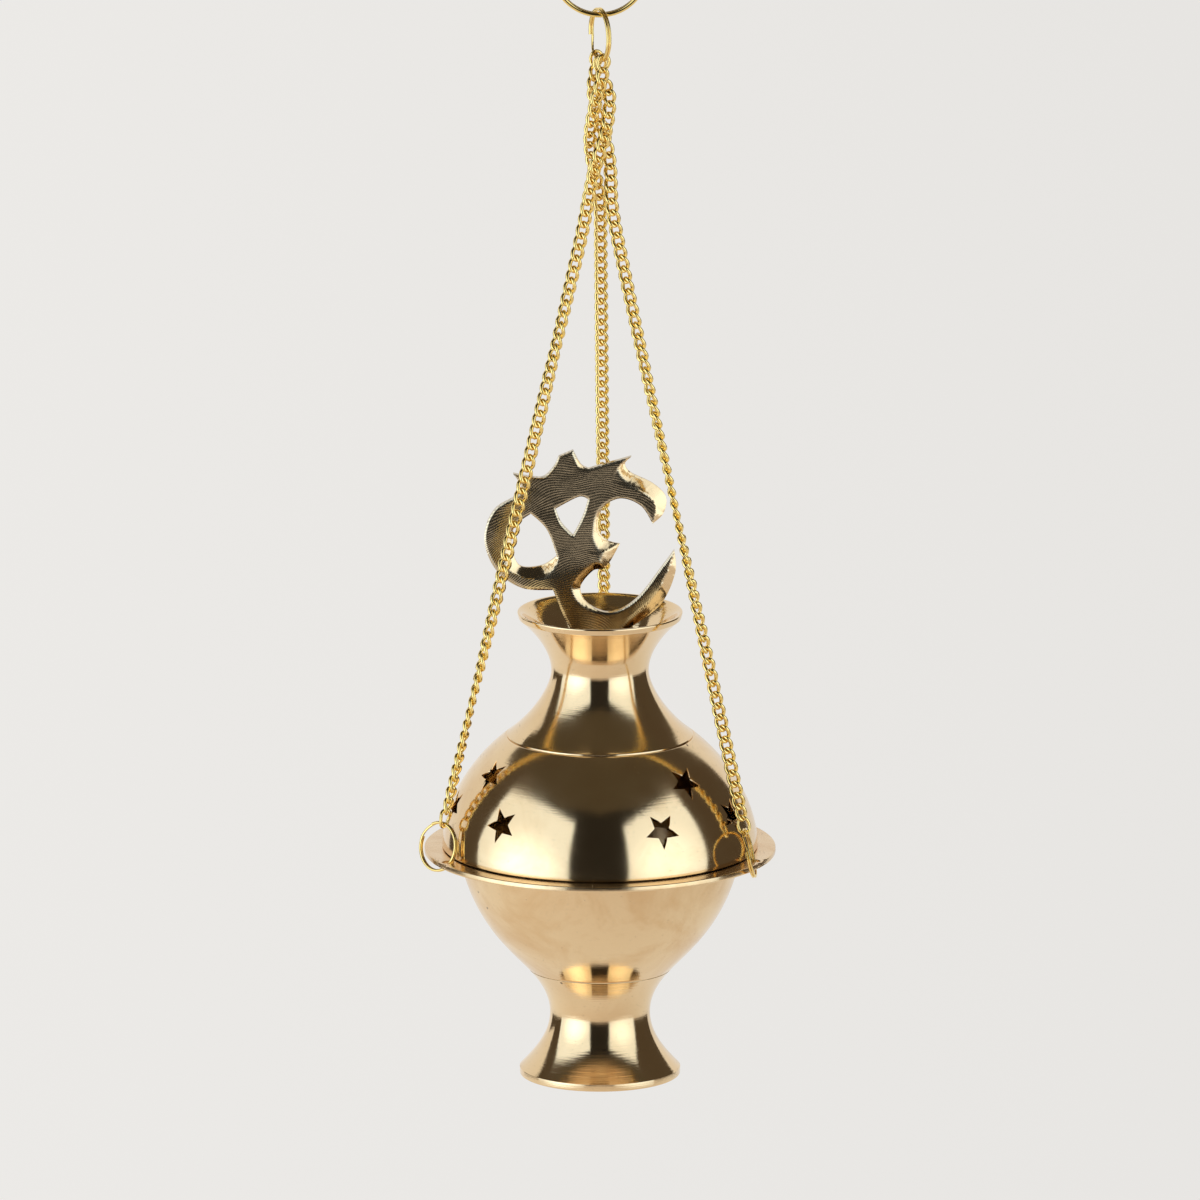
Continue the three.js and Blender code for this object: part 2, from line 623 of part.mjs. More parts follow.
function placedLink(curve, length, middle, form) {
  const along = middle / length;
  const place = curve.getPointAt(along);
  const tangent = curve.getTangentAt(along);
  const breadth = curve.breadth(place.z);
  breadth.addScaledVector(tangent, -breadth.dot(tangent)).normalize();
  const matrix = new THREE.Matrix4().makeBasis(breadth, tangent.clone().cross(breadth), tangent);
  matrix.setPosition(place);
  const geometry = linkGeometry(form);
  geometry.applyMatrix4(matrix);
  return toSolid(geometry);
}

function makeChain(strand) {
  const curve = new StrandCurve(strand);
  curve.arcLengthDivisions = 600;
  const length = curve.getLength();
  const endInner = 2 * (END_LINK_HALF_LENGTH - LINK_WIRE);
  const count = Math.round((length - 2 * endInner) / LINK_PITCH);
  const linkInner = (length - 2 * endInner - (count + 1) * LINK_SEAT) / count;
  const halfLength = linkInner / 2 + LINK_WIRE;
  const pitch = linkInner + LINK_SEAT;
  const endForm = { halfLength: END_LINK_HALF_LENGTH, halfWidth: END_LINK_HALF_WIDTH, bar: END_LINK_BAR };
  const form = { halfLength, halfWidth: LINK_HALF_WIDTH, bar: LINK_END_BAR, lowTwist: -LINK_TWIST, highTwist: LINK_TWIST };
  const links = [
    placedLink(curve, length, endInner / 2, { ...endForm, lowTwist: 0, highTwist: LINK_TWIST }),
    placedLink(curve, length, length - endInner / 2, { ...endForm, lowTwist: -LINK_TWIST, highTwist: 0 }),
  ];
  for (let i = 0; i < count; i += 1) {
    links.push(placedLink(curve, length, endInner + LINK_SEAT + linkInner / 2 + i * pitch, form));
  }
  return named(`chain_${strand.name}`, toGeometry(wasm.Manifold.union(links)), gold());
}

// The whole burner

const group = new THREE.Group();
group.add(makeHangingRing(), makeGatherRing());
for (const strand of STRANDS) group.add(makeFlangeRing(strand), makeChain(strand));
group.add(makeFoot(), makeBowl(), makeDome(), makeNeck(), makeOmPlate());
group.position.z = -hookHeight;

export default group;
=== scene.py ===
"""Hanging incense burner: the looks of a turned brass burner on three gilt chains.

Lengths of the burner are millimetres, with heights from the underside of the foot. make_mesh turns
them into metres in the frame of the model, whose origin is the hook point. The stage is in metres.
Angles are degrees up to where a function turns them.
"""
import math

import bpy
import numpy as np
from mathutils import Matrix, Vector
from mathutils.geometry import delaunay_2d_cdt


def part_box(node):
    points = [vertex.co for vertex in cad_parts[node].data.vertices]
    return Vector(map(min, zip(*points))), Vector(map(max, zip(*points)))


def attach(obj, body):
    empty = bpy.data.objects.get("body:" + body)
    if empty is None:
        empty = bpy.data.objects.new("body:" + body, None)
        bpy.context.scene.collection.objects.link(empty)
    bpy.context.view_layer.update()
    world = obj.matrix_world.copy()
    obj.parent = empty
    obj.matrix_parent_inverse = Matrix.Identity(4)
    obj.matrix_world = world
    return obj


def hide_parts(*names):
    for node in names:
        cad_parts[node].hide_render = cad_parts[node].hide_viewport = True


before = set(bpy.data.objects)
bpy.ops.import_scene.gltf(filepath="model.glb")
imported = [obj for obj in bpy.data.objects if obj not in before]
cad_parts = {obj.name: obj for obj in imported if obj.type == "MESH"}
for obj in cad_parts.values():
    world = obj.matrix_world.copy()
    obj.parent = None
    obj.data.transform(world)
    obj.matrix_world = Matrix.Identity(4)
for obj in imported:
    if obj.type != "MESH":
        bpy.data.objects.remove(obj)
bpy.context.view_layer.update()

bl_info = {
    "name": "Hanging incense burner",
    "version": (1, 0, 0),
    "blender": (4, 5, 0),
    "location": "View3D > Sidebar > Burner",
    "description": "Builds the turned body, pierced lid, Om plate, rings and chains of a hanging burner",
    "category": "Mesh",
}

MM = 0.001
HOOK_HEIGHT = -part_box("foot")[0].z / MM  # from the underside of the foot up to the hook point

# Turned body
FIT_GAP = 0.3
SEAM = 0.04  # drawn between two pieces that meet in a hairline
SEAM_EASE = 0.16  # of the edge under a hairline
# Steeper edge just over a hairline, which catches the light
BOWL_SEAM_BAND = 0.28
NECK_SEAM_BAND = 0.36
SEAM_BAND_IN = 0.04  # of the bowl's lower end
SEAM_BAND_OUT = 0.06
SEAM_BAND_EASE = 0.05
SEAM_BAND_GAP = 0.08  # above it, before the curve goes on
WALL = 1.6
FOOT_RIM_RADIUS = 20.6
FOOT_RIM_HEIGHT = 1.9
FOOT_RIM_WIDTH = 2.8
FOOT_WAIST_RADIUS = 12.85
FOOT_WAIST_HEIGHT = 16.3
FOOT_TOP_HEIGHT = 28.0
FOOT_WEB_THICKNESS = 6.2
BOSS_RADIUS = 9.0
BOSS_LENGTH = 5.6
BOWL_FOOT_RADIUS = 18.4
BOWL_MOUTH_RADIUS = 36.2
BOWL_FLOOR_THICKNESS = 2.2
FLANGE_RADIUS = 45.0
FLANGE_THICKNESS = 1.4
FLANGE_TOP_HEIGHT = 60.0
FLANGE_HOLE_CIRCLE = 42.7
FLANGE_HOLE_RADIUS = 1.6
FLANGE_HOLE_SIDES = 16
DOME_BASE_RADIUS = 40.4
DOME_TOP_RADIUS = 24.3
DOME_TOP_HEIGHT = 89.2
LID_LIP_DEPTH = 2.7
LID_LIP_WALL = 1.5
COLLAR_RADIUS = 21.0
COLLAR_DEPTH = 2.6
NECK_WAIST_RADIUS = 12.5
NECK_WAIST_HEIGHT = 106.2
MOUTH_RADIUS = 21.2
MOUTH_HEIGHT = 121.7
MOUTH_BAND = 1.6
MOUTH_LIP = 0.7
MOUTH_SLANT = 0.35  # of the band, whose lower edge is the narrower
BODY_SIDES = 384
SHELF_POINTS = 22  # of the profile, across each face of the flange
DOME_WALL_POINTS = 80  # of the profile, up the part of the dome that has the stars
ARC_POINTS = 5  # of an eased corner
HOLE_MARGIN = 1.7  # from a hole to the untouched grid cells round it
HOLE_CHAMFER = 0.16
HOLE_RINGS = (0.35, 0.65, 0.86, 1)  # shares of the way from those cells to the hole
HOLE_WALL = (0.1, 0.4, 0.7, 0.9)  # shares of the way through the wall

# Stars
STAR_RADIUS = 4.7
STAR_WAIST = 2.05
STAR_TIPS = 5
STAR_GROUPS = (208.4, 313.8, 81.0)  # azimuths of their middles
# Each star of a group: share of the dome's height, angle from the middle of the group, roll in
# the first group, and added roll in each next group
GROUP_STARS = ((0.755, 0, 32, 0), (0.41, -18.8, 40, -7), (0.41, 19.6, 28, 13))

# Rings: mean radius, wire depth, wire width, facets in the model's own ring
FLANGE_RING = (6.4, 0.6, 0.55, 14)
GATHER_RING = (6.7, 0.7, 0.6, 14)
HANGING_RING = (11.9, 1.2, 1.0, 18)
# The wire as it is drawn: mean radius, depth, width
FLANGE_WIRE = (6.15, 0.72, 0.54)
GATHER_WIRE = (6.59, 0.8, 0.66)
HANGING_WIRE = (11.88, 1.2, 1.0)
RING_SAMPLES = 150
RING_SIDES = 12
TURN_GAP = 0.05
RING_JOG = 36
RING_END_GAP = 4
# Where each ring's jog stands: share across the ring and share along its pull
FLANGE_JOG = (0.85, 0.53)
GATHER_JOG = (-0.85, -0.53)
HANGING_JOG = (-0.9, 0.44)
SWING_GAP = 0.4
GATHER_RING_HEIGHT = 272.2
GATHER_RING_TURN = -70
FLANGE_RING_REACH = 5.0
FLANGE_RING_TURN = -70

# Chains
LINK_PITCH = 2.92
END_LINK_HALF_LENGTH = 2.25
LINK_WIRE = 0.44  # radius of the model's wire, which the end links keep
LINK_SEAT = 0.12  # which each link has worn into the next
LINK_TWIST = -45
LINK_CORNERS = 18
LINK_SIDES = 8
LINK_ROUNDNESS = 0.9
# Half widths, as shares of a common link's
LOWEST_LINK = 1.12
SECOND_LINK = 0.85
TOP_LINK = 1.24
STRAND_SAMPLES = 3000
BUNDLE_RADIUS = 2.35
BUNDLE_HEIGHT = 230
BUNDLE_SOFTNESS = 1.6
BUNDLE_TWIST = 180
BUNDLE_TWIST_SPAN = (-4, 34)  # from the bundle's height
SPREAD_SPAN = (-11, -2)  # from the strand's top
HOOK_SPACING = 2.6
# Strands: azimuth of the hole, place on the gather ring, and (height, azimuth) stops that the
# links' broad side faces
STRANDS = {
    "left": (205, 0, ((102, 90), (145, 180), (170, 180), (192, 130), (222, 180))),
    "right": (337, -1, ((90, 0), (148, 90), (228, 180))),
    "rear": (94, 1, ((150, -20),)),
}

# Om plate
OM_THICKNESS = 2.2
OM_LEAST_THICKNESS = 0.6
OM_SETBACK = 7.6  # from the axis to the middle of the plate
OM_TANG_DEPTH = 17.0
OM_TANG_BEVEL = 0.3
OM_RIDGE_SOFTNESS = 0.3  # share of the bevel's width
OM_ROUNDING = 0.15  # width of the eased edges
OM_FRONT_FALL = 0.07
OM_BACK_FALL = 0.1
OM_BUFFED_WIDTH = 0.7  # from which a bevel shows as a mirror
OM_GRAIN = 0.32  # between neighbouring points of the plate's face
OM_KNOT_STEPS = 60  # of a curve, from one of its points to the next
# Runs from one sharp corner to the next, each point as distance across, height above the mouth,
# and width of the bevel there
OM_EDGE = (
    ((-22.2, 34.4, 0.3), (-17.7, 33.6, 0.3), (-14.4, 33.6, 0.3), (-11.8, 36.3, 0.3),
     (-10.6, 38.9, 0.3)),
    ((-10.6, 38.9, 0.3), (-6.9, 40.5, 0.4)),
    ((-6.9, 40.5, 0.4), (-4.9, 36.8, 0.9), (-3.0, 35.7, 0.5)),
    ((-3.0, 35.7, 0.4), (8.0, 38.9, 0.4)),
    ((8.0, 38.9, 0.6), (6.4, 37.0, 1.8), (7.8, 34.6, 2.4), (13.5, 31.7, 3.3), (16.8, 28.2, 3.8),
     (16.3, 24.0, 3.2), (13.5, 21.3, 0.9)),
    ((13.5, 21.3, 0.4), (10.4, 26.1, 0.3), (5.1, 28.0, 0.3), (0.4, 25.2, 0.6), (-0.5, 20.0, 1.3),
     (1.5, 16.9, 3.0), (5.1, 15.8, 3.6)),
    ((5.1, 15.8, 3.6), (1.5, 9.8, 2.2), (-1.8, 8.9, 1.7), (-5.0, 4.5, 2.3), (-3.0, 0.1, 1.2),
     (2.7, -2.0, 0.4), (9.2, 1.4, 0.3), (15.7, 9.8, 0.3), (19.0, 14.4, 0.4)),
    ((19.0, 14.4, 0.6), (19.2, 8.1, 2.3), (15.3, -0.3, 2.9), (6.8, -6.6, 1.2)),
)
OM_BACK_EDGE = (
    ((-7.5, -6.4, 0.3), (-9.5, -2.4, 0.3), (-12.0, 3.9, 0.3)),
    ((-12.0, 3.9, 0.3), (-20.1, 4.5, 0.6), (-26.7, 9.3, 0.7), (-29.6, 17.3, 0.4),
     (-27.1, 24.8, 0.3), (-20.6, 29.0, 0.3), (-20.2, 31.4, 0.3), (-22.2, 34.4, 0.3)),
)
OM_WINDOWS = (
    (
        ((-17.7, 24.0, 0.3), (-21.8, 20.6, 0.8), (-22.6, 15.6, 1.6), (-20.6, 10.2, 3.0),
         (-14.9, 10.2, 3.0), (-11.0, 12.7, 0.5)),
        ((-11.0, 12.7, 0.3), (-13.6, 19.8, 0.3), (-17.7, 24.0, 0.3)),
    ),
    (
        ((-11.4, 25.3, 0.3), (-9.9, 21.5, 0.4), (-6.9, 18.2, 0.4)),
        ((-6.9, 18.2, 0.3), (-4.4, 23.2, 0.3), (-3.0, 27.8, 0.3)),
        ((-3.0, 27.8, 0.3), (-5.5, 28.4, 0.3), (-11.4, 25.3, 0.3)),
    ),
)

# Turned brass of each piece: roughness as (height, value) stops, smear along the profile, depth of
# the turning lines as a multiple of the size set, and strength of the tarnish
TURNED_BRASS = {
    "foot": (((0, 0.09), (12, 0.1), (18, 0.1), (28, 0.06)), 0.7, 2, 0.25),
    "bowl": (((28, 0.06), (33, 0.07), (38, 0.15), (60, 0.2)), 0.5, 1, 0.8),
    "dome": (((60, 0.11), (78, 0.11), (90, 0.15)), 0.5, 1, 0.45),
    "neck": (((88, 0.11), (97, 0.13), (104, 0.12), (110, 0.09), (123, 0.09)), 0.7, 1.6, 0.3),
}
TARNISH_TINT = (0.84, 0.72, 0.58)  # what tarnish leaves of each channel
PIT_COLOUR = "#594530"
OM_SWIRL = (-4.5 * MM, 0.0, (MOUTH_HEIGHT - 10 - HOOK_HEIGHT) * MM)  # middle of the polishing lines
OM_DRIFT = 9.0  # by which the polishing lines wander
OM_FACE_TINT = (0.92, 1.03, 1.22)  # greyer than the bevels
OM_GROOVE_SHADE = 0.58
RUB_TINT = (0.92, 0.9, 0.86)  # what rubbing leaves of each channel
# Patterns, each by the distance from one of its features to the next
TURNING_SPACING = 0.35  # wider than the real one, so that the lines show
TURNING_RUN = 33.33  # along a turning line, before it fades into another
TARNISH_CLOUD = 18.18
BUFFING_SMEAR = 6.667
PIT_SPACING = 4.762
HAIR_GAP = 0.4545  # wider than the real one, so that the scratches show
HAIR_RUN = 6.25
OM_DRIFT_SIZE = 16.67
OM_GRIT = 0.6667
OM_SWELL_SIZE = 10.53
RUB_PATCH = 1.667

# Stage
PICTURE_WIDTH = 306.8 * MM  # of the object's plane that the photograph takes in
PICTURE_MIDDLE = 124.6  # mm above the underside of the foot
SENSOR_WIDTH = 36.0
CAMERA_ELEVATION = 13.2
CAMERA_DISTANCE = 6.0
FLOOR_LEVEL = -0.72
FLOOR_RADIUS = 14
FLOOR_SIDES = 96
# Painted shade on the floor near the camera, which the bowl reflects
FLOOR_PAINTED_SHADE_COLOUR = "#DDD2C8"
FLOOR_SHADE_REACH = 0.6
FLOOR_SHADOW = 0.1  # share of the burner's shadow that seen rays keep
FILL_STRENGTH = 0.45
EYE_LEVEL = -0.2  # height of the burner's middle, which the cards stand round
# Softboxes: side, azimuth from the camera's with right positive, ends of the card from its
# middle, colour, place of the lamp, strength there, and strength at the edge
SOFTBOXES = (
    ("left", -58, (-1.08, 0.86), "#E7F3FF", (-1.02, -0.64, -0.35), 2.5, 1.35),
    ("right", 62, (-1.07, 0.47), "#EAF5FF", (0.9, -0.85, -0.2), 1.9, 1.3),
)
SOFTBOX_DISTANCE = 1.2
SOFTBOX_TOP = EYE_LEVEL + 1.2
SOFTBOX_FALL = (0.1, 0.9)  # distances from the lamp between which the cloth grows weaker
DARK_CLOTHS = {"dark_room": "#2B2926", "dark_side": "#52493D", "dark_ceiling": "#4F483B"}
# Walls of the dark room: name, cloth, azimuths, half width and top
WALLS = (
    ("dark_wall", "dark_room", (-60, -20, 20, 60), 0.6, EYE_LEVEL + 2.0),
    ("dark_wall", "dark_side", (-100, 100, 120), 0.6, EYE_LEVEL + 2.0),
    ("low_wall", "dark_side", (-128, 126), 0.42, EYE_LEVEL - 0.14),
)
WALL_DISTANCE = 1.6
CEILING_HALF_WIDTH = 2.2
CEILING_LEVEL = EYE_LEVEL + 1.85


# Small helpers

def linear(hex_colour):
    """sRGB hex to linear: c / 12.92 below 0.04045, else ((c + 0.055) / 1.055) ** 2.4."""
    parts = [int(hex_colour[k:k + 2], 16) / 255 for k in (1, 3, 5)]
    return tuple(c / 12.92 if c < 0.04045 else ((c + 0.055) / 1.055) ** 2.4 for c in parts)


def heading(degrees):
    """Unit vectors (cos a, sin a, 0) in the level plane."""
    angle = np.radians(degrees)
    return np.stack([np.cos(angle), np.sin(angle), np.zeros_like(angle)], -1)


def unit(vectors):
    """v / |v|."""
    return vectors / np.linalg.norm(vectors, axis=-1, keepdims=True)


def smoothstep(x, low, high):
    """3 s s - 2 s s s, with s = (x - low) / (high - low) held between 0 and 1."""
    s = np.clip((x - low) / (high - low), 0, 1)
    return s * s * (3 - 2 * s)


def cross(m, n):
    """mx ny - my nx, for rows of vectors in a plane."""
    return m[:, 0] * n[:, 1] - m[:, 1] * n[:, 0]


def lengths_along(line):
    """Length of the line from its first point up to each of its points."""
    return np.concatenate([[0], np.cumsum(np.linalg.norm(np.diff(line, axis=0), axis=1))])


def new_object(name, data):
    """An object for a mesh or a camera, on the scene."""
    made = bpy.data.objects.new(name, data)
    bpy.context.scene.collection.objects.link(made)
    return made


def make_mesh(name, points, faces, crease=35, marks=None):
    """A mesh from points in mm and a list of index arrays with 3 or 4 columns, one face a row.
    Points that no face uses are left out. marks are float attributes, one value a point."""
    corners = np.concatenate([part.ravel() for part in faces])
    sides = np.concatenate([np.full(len(part), part.shape[1]) for part in faces])
    used, corners = np.unique(corners, return_inverse=True)
    placed = (points[used] - [0, 0, HOOK_HEIGHT]) * MM
    mesh = bpy.data.meshes.new(name)
    mesh.vertices.add(len(used))
    mesh.vertices.foreach_set("co", placed.astype(np.float32).ravel())
    mesh.loops.add(len(corners))
    mesh.loops.foreach_set("vertex_index", corners.astype(np.int32))
    mesh.polygons.add(len(sides))
    mesh.polygons.foreach_set("loop_start", (np.cumsum(sides) - sides).astype(np.int32))
    mesh.update(calc_edges=True)
    for mark, values in (marks or {}).items():
        attribute = mesh.attributes.new(mark, "FLOAT", "POINT")
        attribute.data.foreach_set("value", values[used].astype(np.float32))
    mesh.shade_smooth()
    mesh.set_sharp_from_angle(angle=math.radians(crease))
    return new_object(name, mesh)


def dress(piece, material, node_name, body):
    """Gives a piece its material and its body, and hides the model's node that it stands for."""
    piece.data.materials.append(material)
    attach(piece, body)
    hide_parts(node_name)


# Turned shapes

def bezier(corners, count):
    """(1-t)^3 a + 3 (1-t)^2 t b + 3 (1-t) t^2 c + t^3 d, at count even values of t."""
    a, b, c, d = (np.array(p, float) for p in corners)
    t = np.linspace(0, 1, count)[:, None]
    return (1 - t) ** 3 * a + 3 * (1 - t) ** 2 * t * b + 3 * (1 - t) * t * t * c + t ** 3 * d


def inward(curve, wall):
    """Each point moved by wall along (-dz, dr) / |(dr, dz)|, the side towards the axis."""
    along = unit(np.gradient(curve, axis=0))
    return curve + wall * np.stack([-along[:, 1], along[:, 0]], -1)


FOOT_FLARE = ((FOOT_RIM_RADIUS, FOOT_RIM_HEIGHT), (FOOT_RIM_RADIUS - 4.9, FOOT_RIM_HEIGHT + 5.0),
              (FOOT_WAIST_RADIUS, FOOT_WAIST_HEIGHT - 5.2), (FOOT_WAIST_RADIUS, FOOT_WAIST_HEIGHT))
FOOT_RISE = ((FOOT_WAIST_RADIUS, FOOT_WAIST_HEIGHT), (FOOT_WAIST_RADIUS, FOOT_WAIST_HEIGHT + 4.8),
             (BOWL_FOOT_RADIUS - 2.6, FOOT_TOP_HEIGHT - 2.9), (BOWL_FOOT_RADIUS, FOOT_TOP_HEIGHT))
FLANGE_UNDERSIDE = FLANGE_TOP_HEIGHT - FLANGE_THICKNESS
BOWL_SIDE = ((BOWL_FOOT_RADIUS, FOOT_TOP_HEIGHT), (BOWL_FOOT_RADIUS + 4.7, FOOT_TOP_HEIGHT + 5.2),
             (BOWL_MOUTH_RADIUS - 3.0, FLANGE_UNDERSIDE - 17.6), (BOWL_MOUTH_RADIUS, FLANGE_UNDERSIDE))
DOME_BASE = FLANGE_TOP_HEIGHT + FIT_GAP
DOME_SIDE = ((DOME_BASE_RADIUS, DOME_BASE), (DOME_BASE_RADIUS + 0.1, DOME_BASE + 8.6),
             (DOME_TOP_RADIUS + 10.9, DOME_TOP_HEIGHT - 8.6), (DOME_TOP_RADIUS, DOME_TOP_HEIGHT))
NECK_RISE = ((DOME_TOP_RADIUS, DOME_TOP_HEIGHT), (DOME_TOP_RADIUS - 6.6, DOME_TOP_HEIGHT + 4.7),
             (NECK_WAIST_RADIUS + 0.1, NECK_WAIST_HEIGHT - 4.6), (NECK_WAIST_RADIUS, NECK_WAIST_HEIGHT))
NECK_FLARE = ((NECK_WAIST_RADIUS, NECK_WAIST_HEIGHT), (NECK_WAIST_RADIUS, NECK_WAIST_HEIGHT + 5.3),
              (MOUTH_RADIUS - 4.4, MOUTH_HEIGHT - MOUTH_BAND - 3.3),
              (MOUTH_RADIUS - MOUTH_SLANT, MOUTH_HEIGHT - MOUTH_BAND))


def profile_of(*parts):
    """Joins corners (radius, height, ease) and curves (n rows of radius, height) into one closed
    profile. A corner with an ease becomes the arc (1-t)^2 p + 2 (1-t) t corner + t^2 q, with p
    and q at that distance from it on its two sides, though not past the middle of a side."""
    parts = [np.atleast_2d(np.array(part, float)) for part in parts]
    rows = np.concatenate([np.pad(part, ((0, 0), (0, 3 - part.shape[1]))) for part in parts])
    spots, eases = rows[:, :2], rows[:, 2:]
    p, q = (
        spots + side * np.minimum(eases / np.maximum(np.linalg.norm(side, axis=1, keepdims=True), 1e-9), 0.45)
        for side in (np.roll(spots, 1, 0) - spots, np.roll(spots, -1, 0) - spots))
    t = np.linspace(0, 1, ARC_POINTS)[:, None]
    arcs = (1 - t) ** 2 * p[:, None] + 2 * (1 - t) * t * spots[:, None] + t * t * q[:, None]
    return arcs[(eases > 0) | (np.arange(ARC_POINTS) == 0)]


def turned_grid(profile, angles, steps):
    """(r cos a, r sin a, z) with r and z read from the closed profile at fractional steps."""
    count = len(profile)
    closed = np.vstack([profile, profile[:1]])
    r = np.interp(steps % count, np.arange(count + 1), closed[:, 0])
    z = np.interp(steps % count, np.arange(count + 1), closed[:, 1])
    return np.stack([r * np.cos(angles), r * np.sin(angles), z + 0 * angles], -1)


def step_at(profile, first, count, axis, value):
    """The fractional step at which count points from the first one reach a radius (axis 0) or a
    height (axis 1)."""
    return first + float(np.interp(value, profile[first:first + count, axis], np.arange(count)))


def lathe(name, profile, bands=None, holes=()):
    """A closed turned piece: point (i, j) stands at angle 2 pi i / n and profile point j. bands
    are the first outer and last inner profile point of a wall whose two faces run side by side,
    and each hole (azimuth, outer step, outline) goes through that wall. The mark turning is the
    length along the profile."""
    count = len(profile)
    angles = 2 * np.pi * np.arange(BODY_SIDES) / BODY_SIDES
    steps = np.arange(count)
    points = [turned_grid(profile, angles[:, None], steps[None].astype(float)).reshape(-1, 3)]
    along = lengths_along(profile)
    turning = [np.tile(along, BODY_SIDES)]
    index = np.arange(BODY_SIDES * count).reshape(BODY_SIDES, count)
    index[:, profile[:, 0] < 1e-6] = index[0, profile[:, 0] < 1e-6]
    kept = np.ones(index.shape, bool)
    parts = []
    for azimuth, step, outline in holes:
        total = sum(map(len, points))
        cells, more, marks, faces = pierce(profile, along, index, bands, azimuth, step, outline, total)
        for i, j in cells:
            kept[np.ix_(i, j)] = False
        points.append(more)
        turning.append(marks)
        parts.append(faces)
    beside = np.roll(index, -1, 0)
    quads = np.stack([index, beside, np.roll(beside, -1, 1), np.roll(index, -1, 1)], -1)[kept]
    flat_low, flat_high = quads[:, 0] == quads[:, 1], quads[:, 2] == quads[:, 3]
    parts += [quads[~flat_low & ~flat_high], quads[flat_low & ~flat_high][:, [0, 2, 3]],
              quads[flat_high & ~flat_low][:, :3]]
    return make_mesh(name, np.concatenate(points), [p for p in parts if len(p)],
                     marks={"turning": np.concatenate(turning)})


def star_outline(roll):
    """Corners of a five-pointed star as (angle, radius), tips and notches in turn."""
    turns = np.radians(90 + roll) + np.pi * np.arange(2 * STAR_TIPS) / STAR_TIPS
    return turns, np.where(np.arange(2 * STAR_TIPS) % 2, STAR_WAIST, STAR_RADIUS)


def round_outline():
    """Corners of a polygon close to the flange's round holes, as (angle, radius)."""
    turns = 2 * np.pi * np.arange(FLANGE_HOLE_SIDES) / FLANGE_HOLE_SIDES
    return turns, np.full(FLANGE_HOLE_SIDES, FLANGE_HOLE_RADIUS)


def outline_radius(angles, outline):
    """Distance from the middle to the outline's straight sides: |P x Q| / |(Q - P) x u|."""
    turns, radii = outline
    count = len(turns)
    sector = np.floor((angles - turns[0]) / (2 * np.pi / count) + 1e-9).astype(int) % count
    corner = np.stack([radii * np.cos(turns), radii * np.sin(turns)], -1)
    p, q = corner[sector], corner[(sector + 1) % count]
    u = np.stack([np.cos(angles), np.sin(angles)], -1)
    return cross(p, q) / cross(u, q - p)


def pierce(profile, along, index, bands, azimuth, step, outline, first):
    """Cuts a hole through a wall. On each face, the grid cells round the hole give way to rings
    of points between their border and the outline: (1 - w) border + w outline, in mm across and
    along the surface. Straight walls then join the two outlines, with a small chamfer."""
    outer, inner = bands
    mirror = outer + inner
    reach = outline[1].max() + HOLE_MARGIN
    radius = np.interp(step, np.arange(len(profile)), profile[:, 0])
    middle = np.interp(step, np.arange(len(profile)), along)
    i_mid = azimuth / 360 * BODY_SIDES
    i_half = reach / (2 * np.pi * radius / BODY_SIDES)
    i_low, i_high = int(round(i_mid - i_half)), int(round(i_mid + i_half))
    j_low = int(np.searchsorted(along, middle - reach))
    j_high = int(np.searchsorted(along, middle + reach))
    i_run, j_run = np.arange(i_low, i_high), np.arange(j_low, j_high)
    border = np.concatenate([
        np.stack([i_run, np.full_like(i_run, j_low)], -1),
        np.stack([np.full_like(j_run, i_high), j_run], -1),
        np.stack([i_run[::-1] + 1, np.full_like(i_run, j_high)], -1),
        np.stack([np.full_like(j_run, i_low), j_run[::-1] + 1], -1),
    ])
    flat = np.stack([
        (border[:, 0] - i_mid) * 2 * np.pi / BODY_SIDES * profile[border[:, 1], 0],
        along[border[:, 1]] - middle,
    ], -1)
    turns = np.arctan2(flat[:, 1], flat[:, 0])
    for corner in outline[0]:
        away = (turns - corner + np.pi) % (2 * np.pi) - np.pi
        nearest = np.argmin(np.abs(away))
        turns[nearest] -= away[nearest]
    rim = np.stack([np.cos(turns), np.sin(turns)], -1) * outline_radius(turns, outline)[:, None]
    chamfer = rim + HOLE_CHAMFER * unit(rim)
    size = len(border)

    def surface(spots, inside):
        """Points of the outer or the inner face for (across, along) spots round the hole."""
        steps = np.interp(spots[:, 1] + middle, along, np.arange(len(profile)))
        wide = np.interp(steps, np.arange(len(profile)), profile[:, 0])
        angles = 2 * np.pi * i_mid / BODY_SIDES + spots[:, 0] / wide
        return turned_grid(profile, angles, mirror - steps if inside else steps)

    flats = [flat + w * (chamfer - flat) for w in HOLE_RINGS]
    front, back = surface(rim, False), surface(rim, True)
    rings = [surface(spots, False) for spots in flats]
    rings += [front + s * (back - front) for s in HOLE_WALL]
    rings += [surface(spots, True) for spots in flats[::-1]]
    loops = [index[border[:, 0] % BODY_SIDES, border[:, 1]]]
    loops += [first + size * k + np.arange(size) for k in range(len(rings))]
    loops.append(index[border[:, 0] % BODY_SIDES, mirror - border[:, 1]])
    faces = [np.stack([a, np.roll(a, -1), np.roll(b, -1), b], -1) for a, b in zip(loops, loops[1:])]
    cells = [(i_run % BODY_SIDES, j_run), (i_run % BODY_SIDES, mirror - j_run - 1)]
    spots = flats + [rim] * (len(rings) - len(flats))
    marks = middle + np.concatenate(spots)[:, 1]
    return cells, np.concatenate(rings), marks, np.concatenate(faces)


def point_at(profile, spot):
    """Number of the profile's point that lies nearest to a spot."""
    return int(np.argmin(np.linalg.norm(profile - spot, axis=1)))


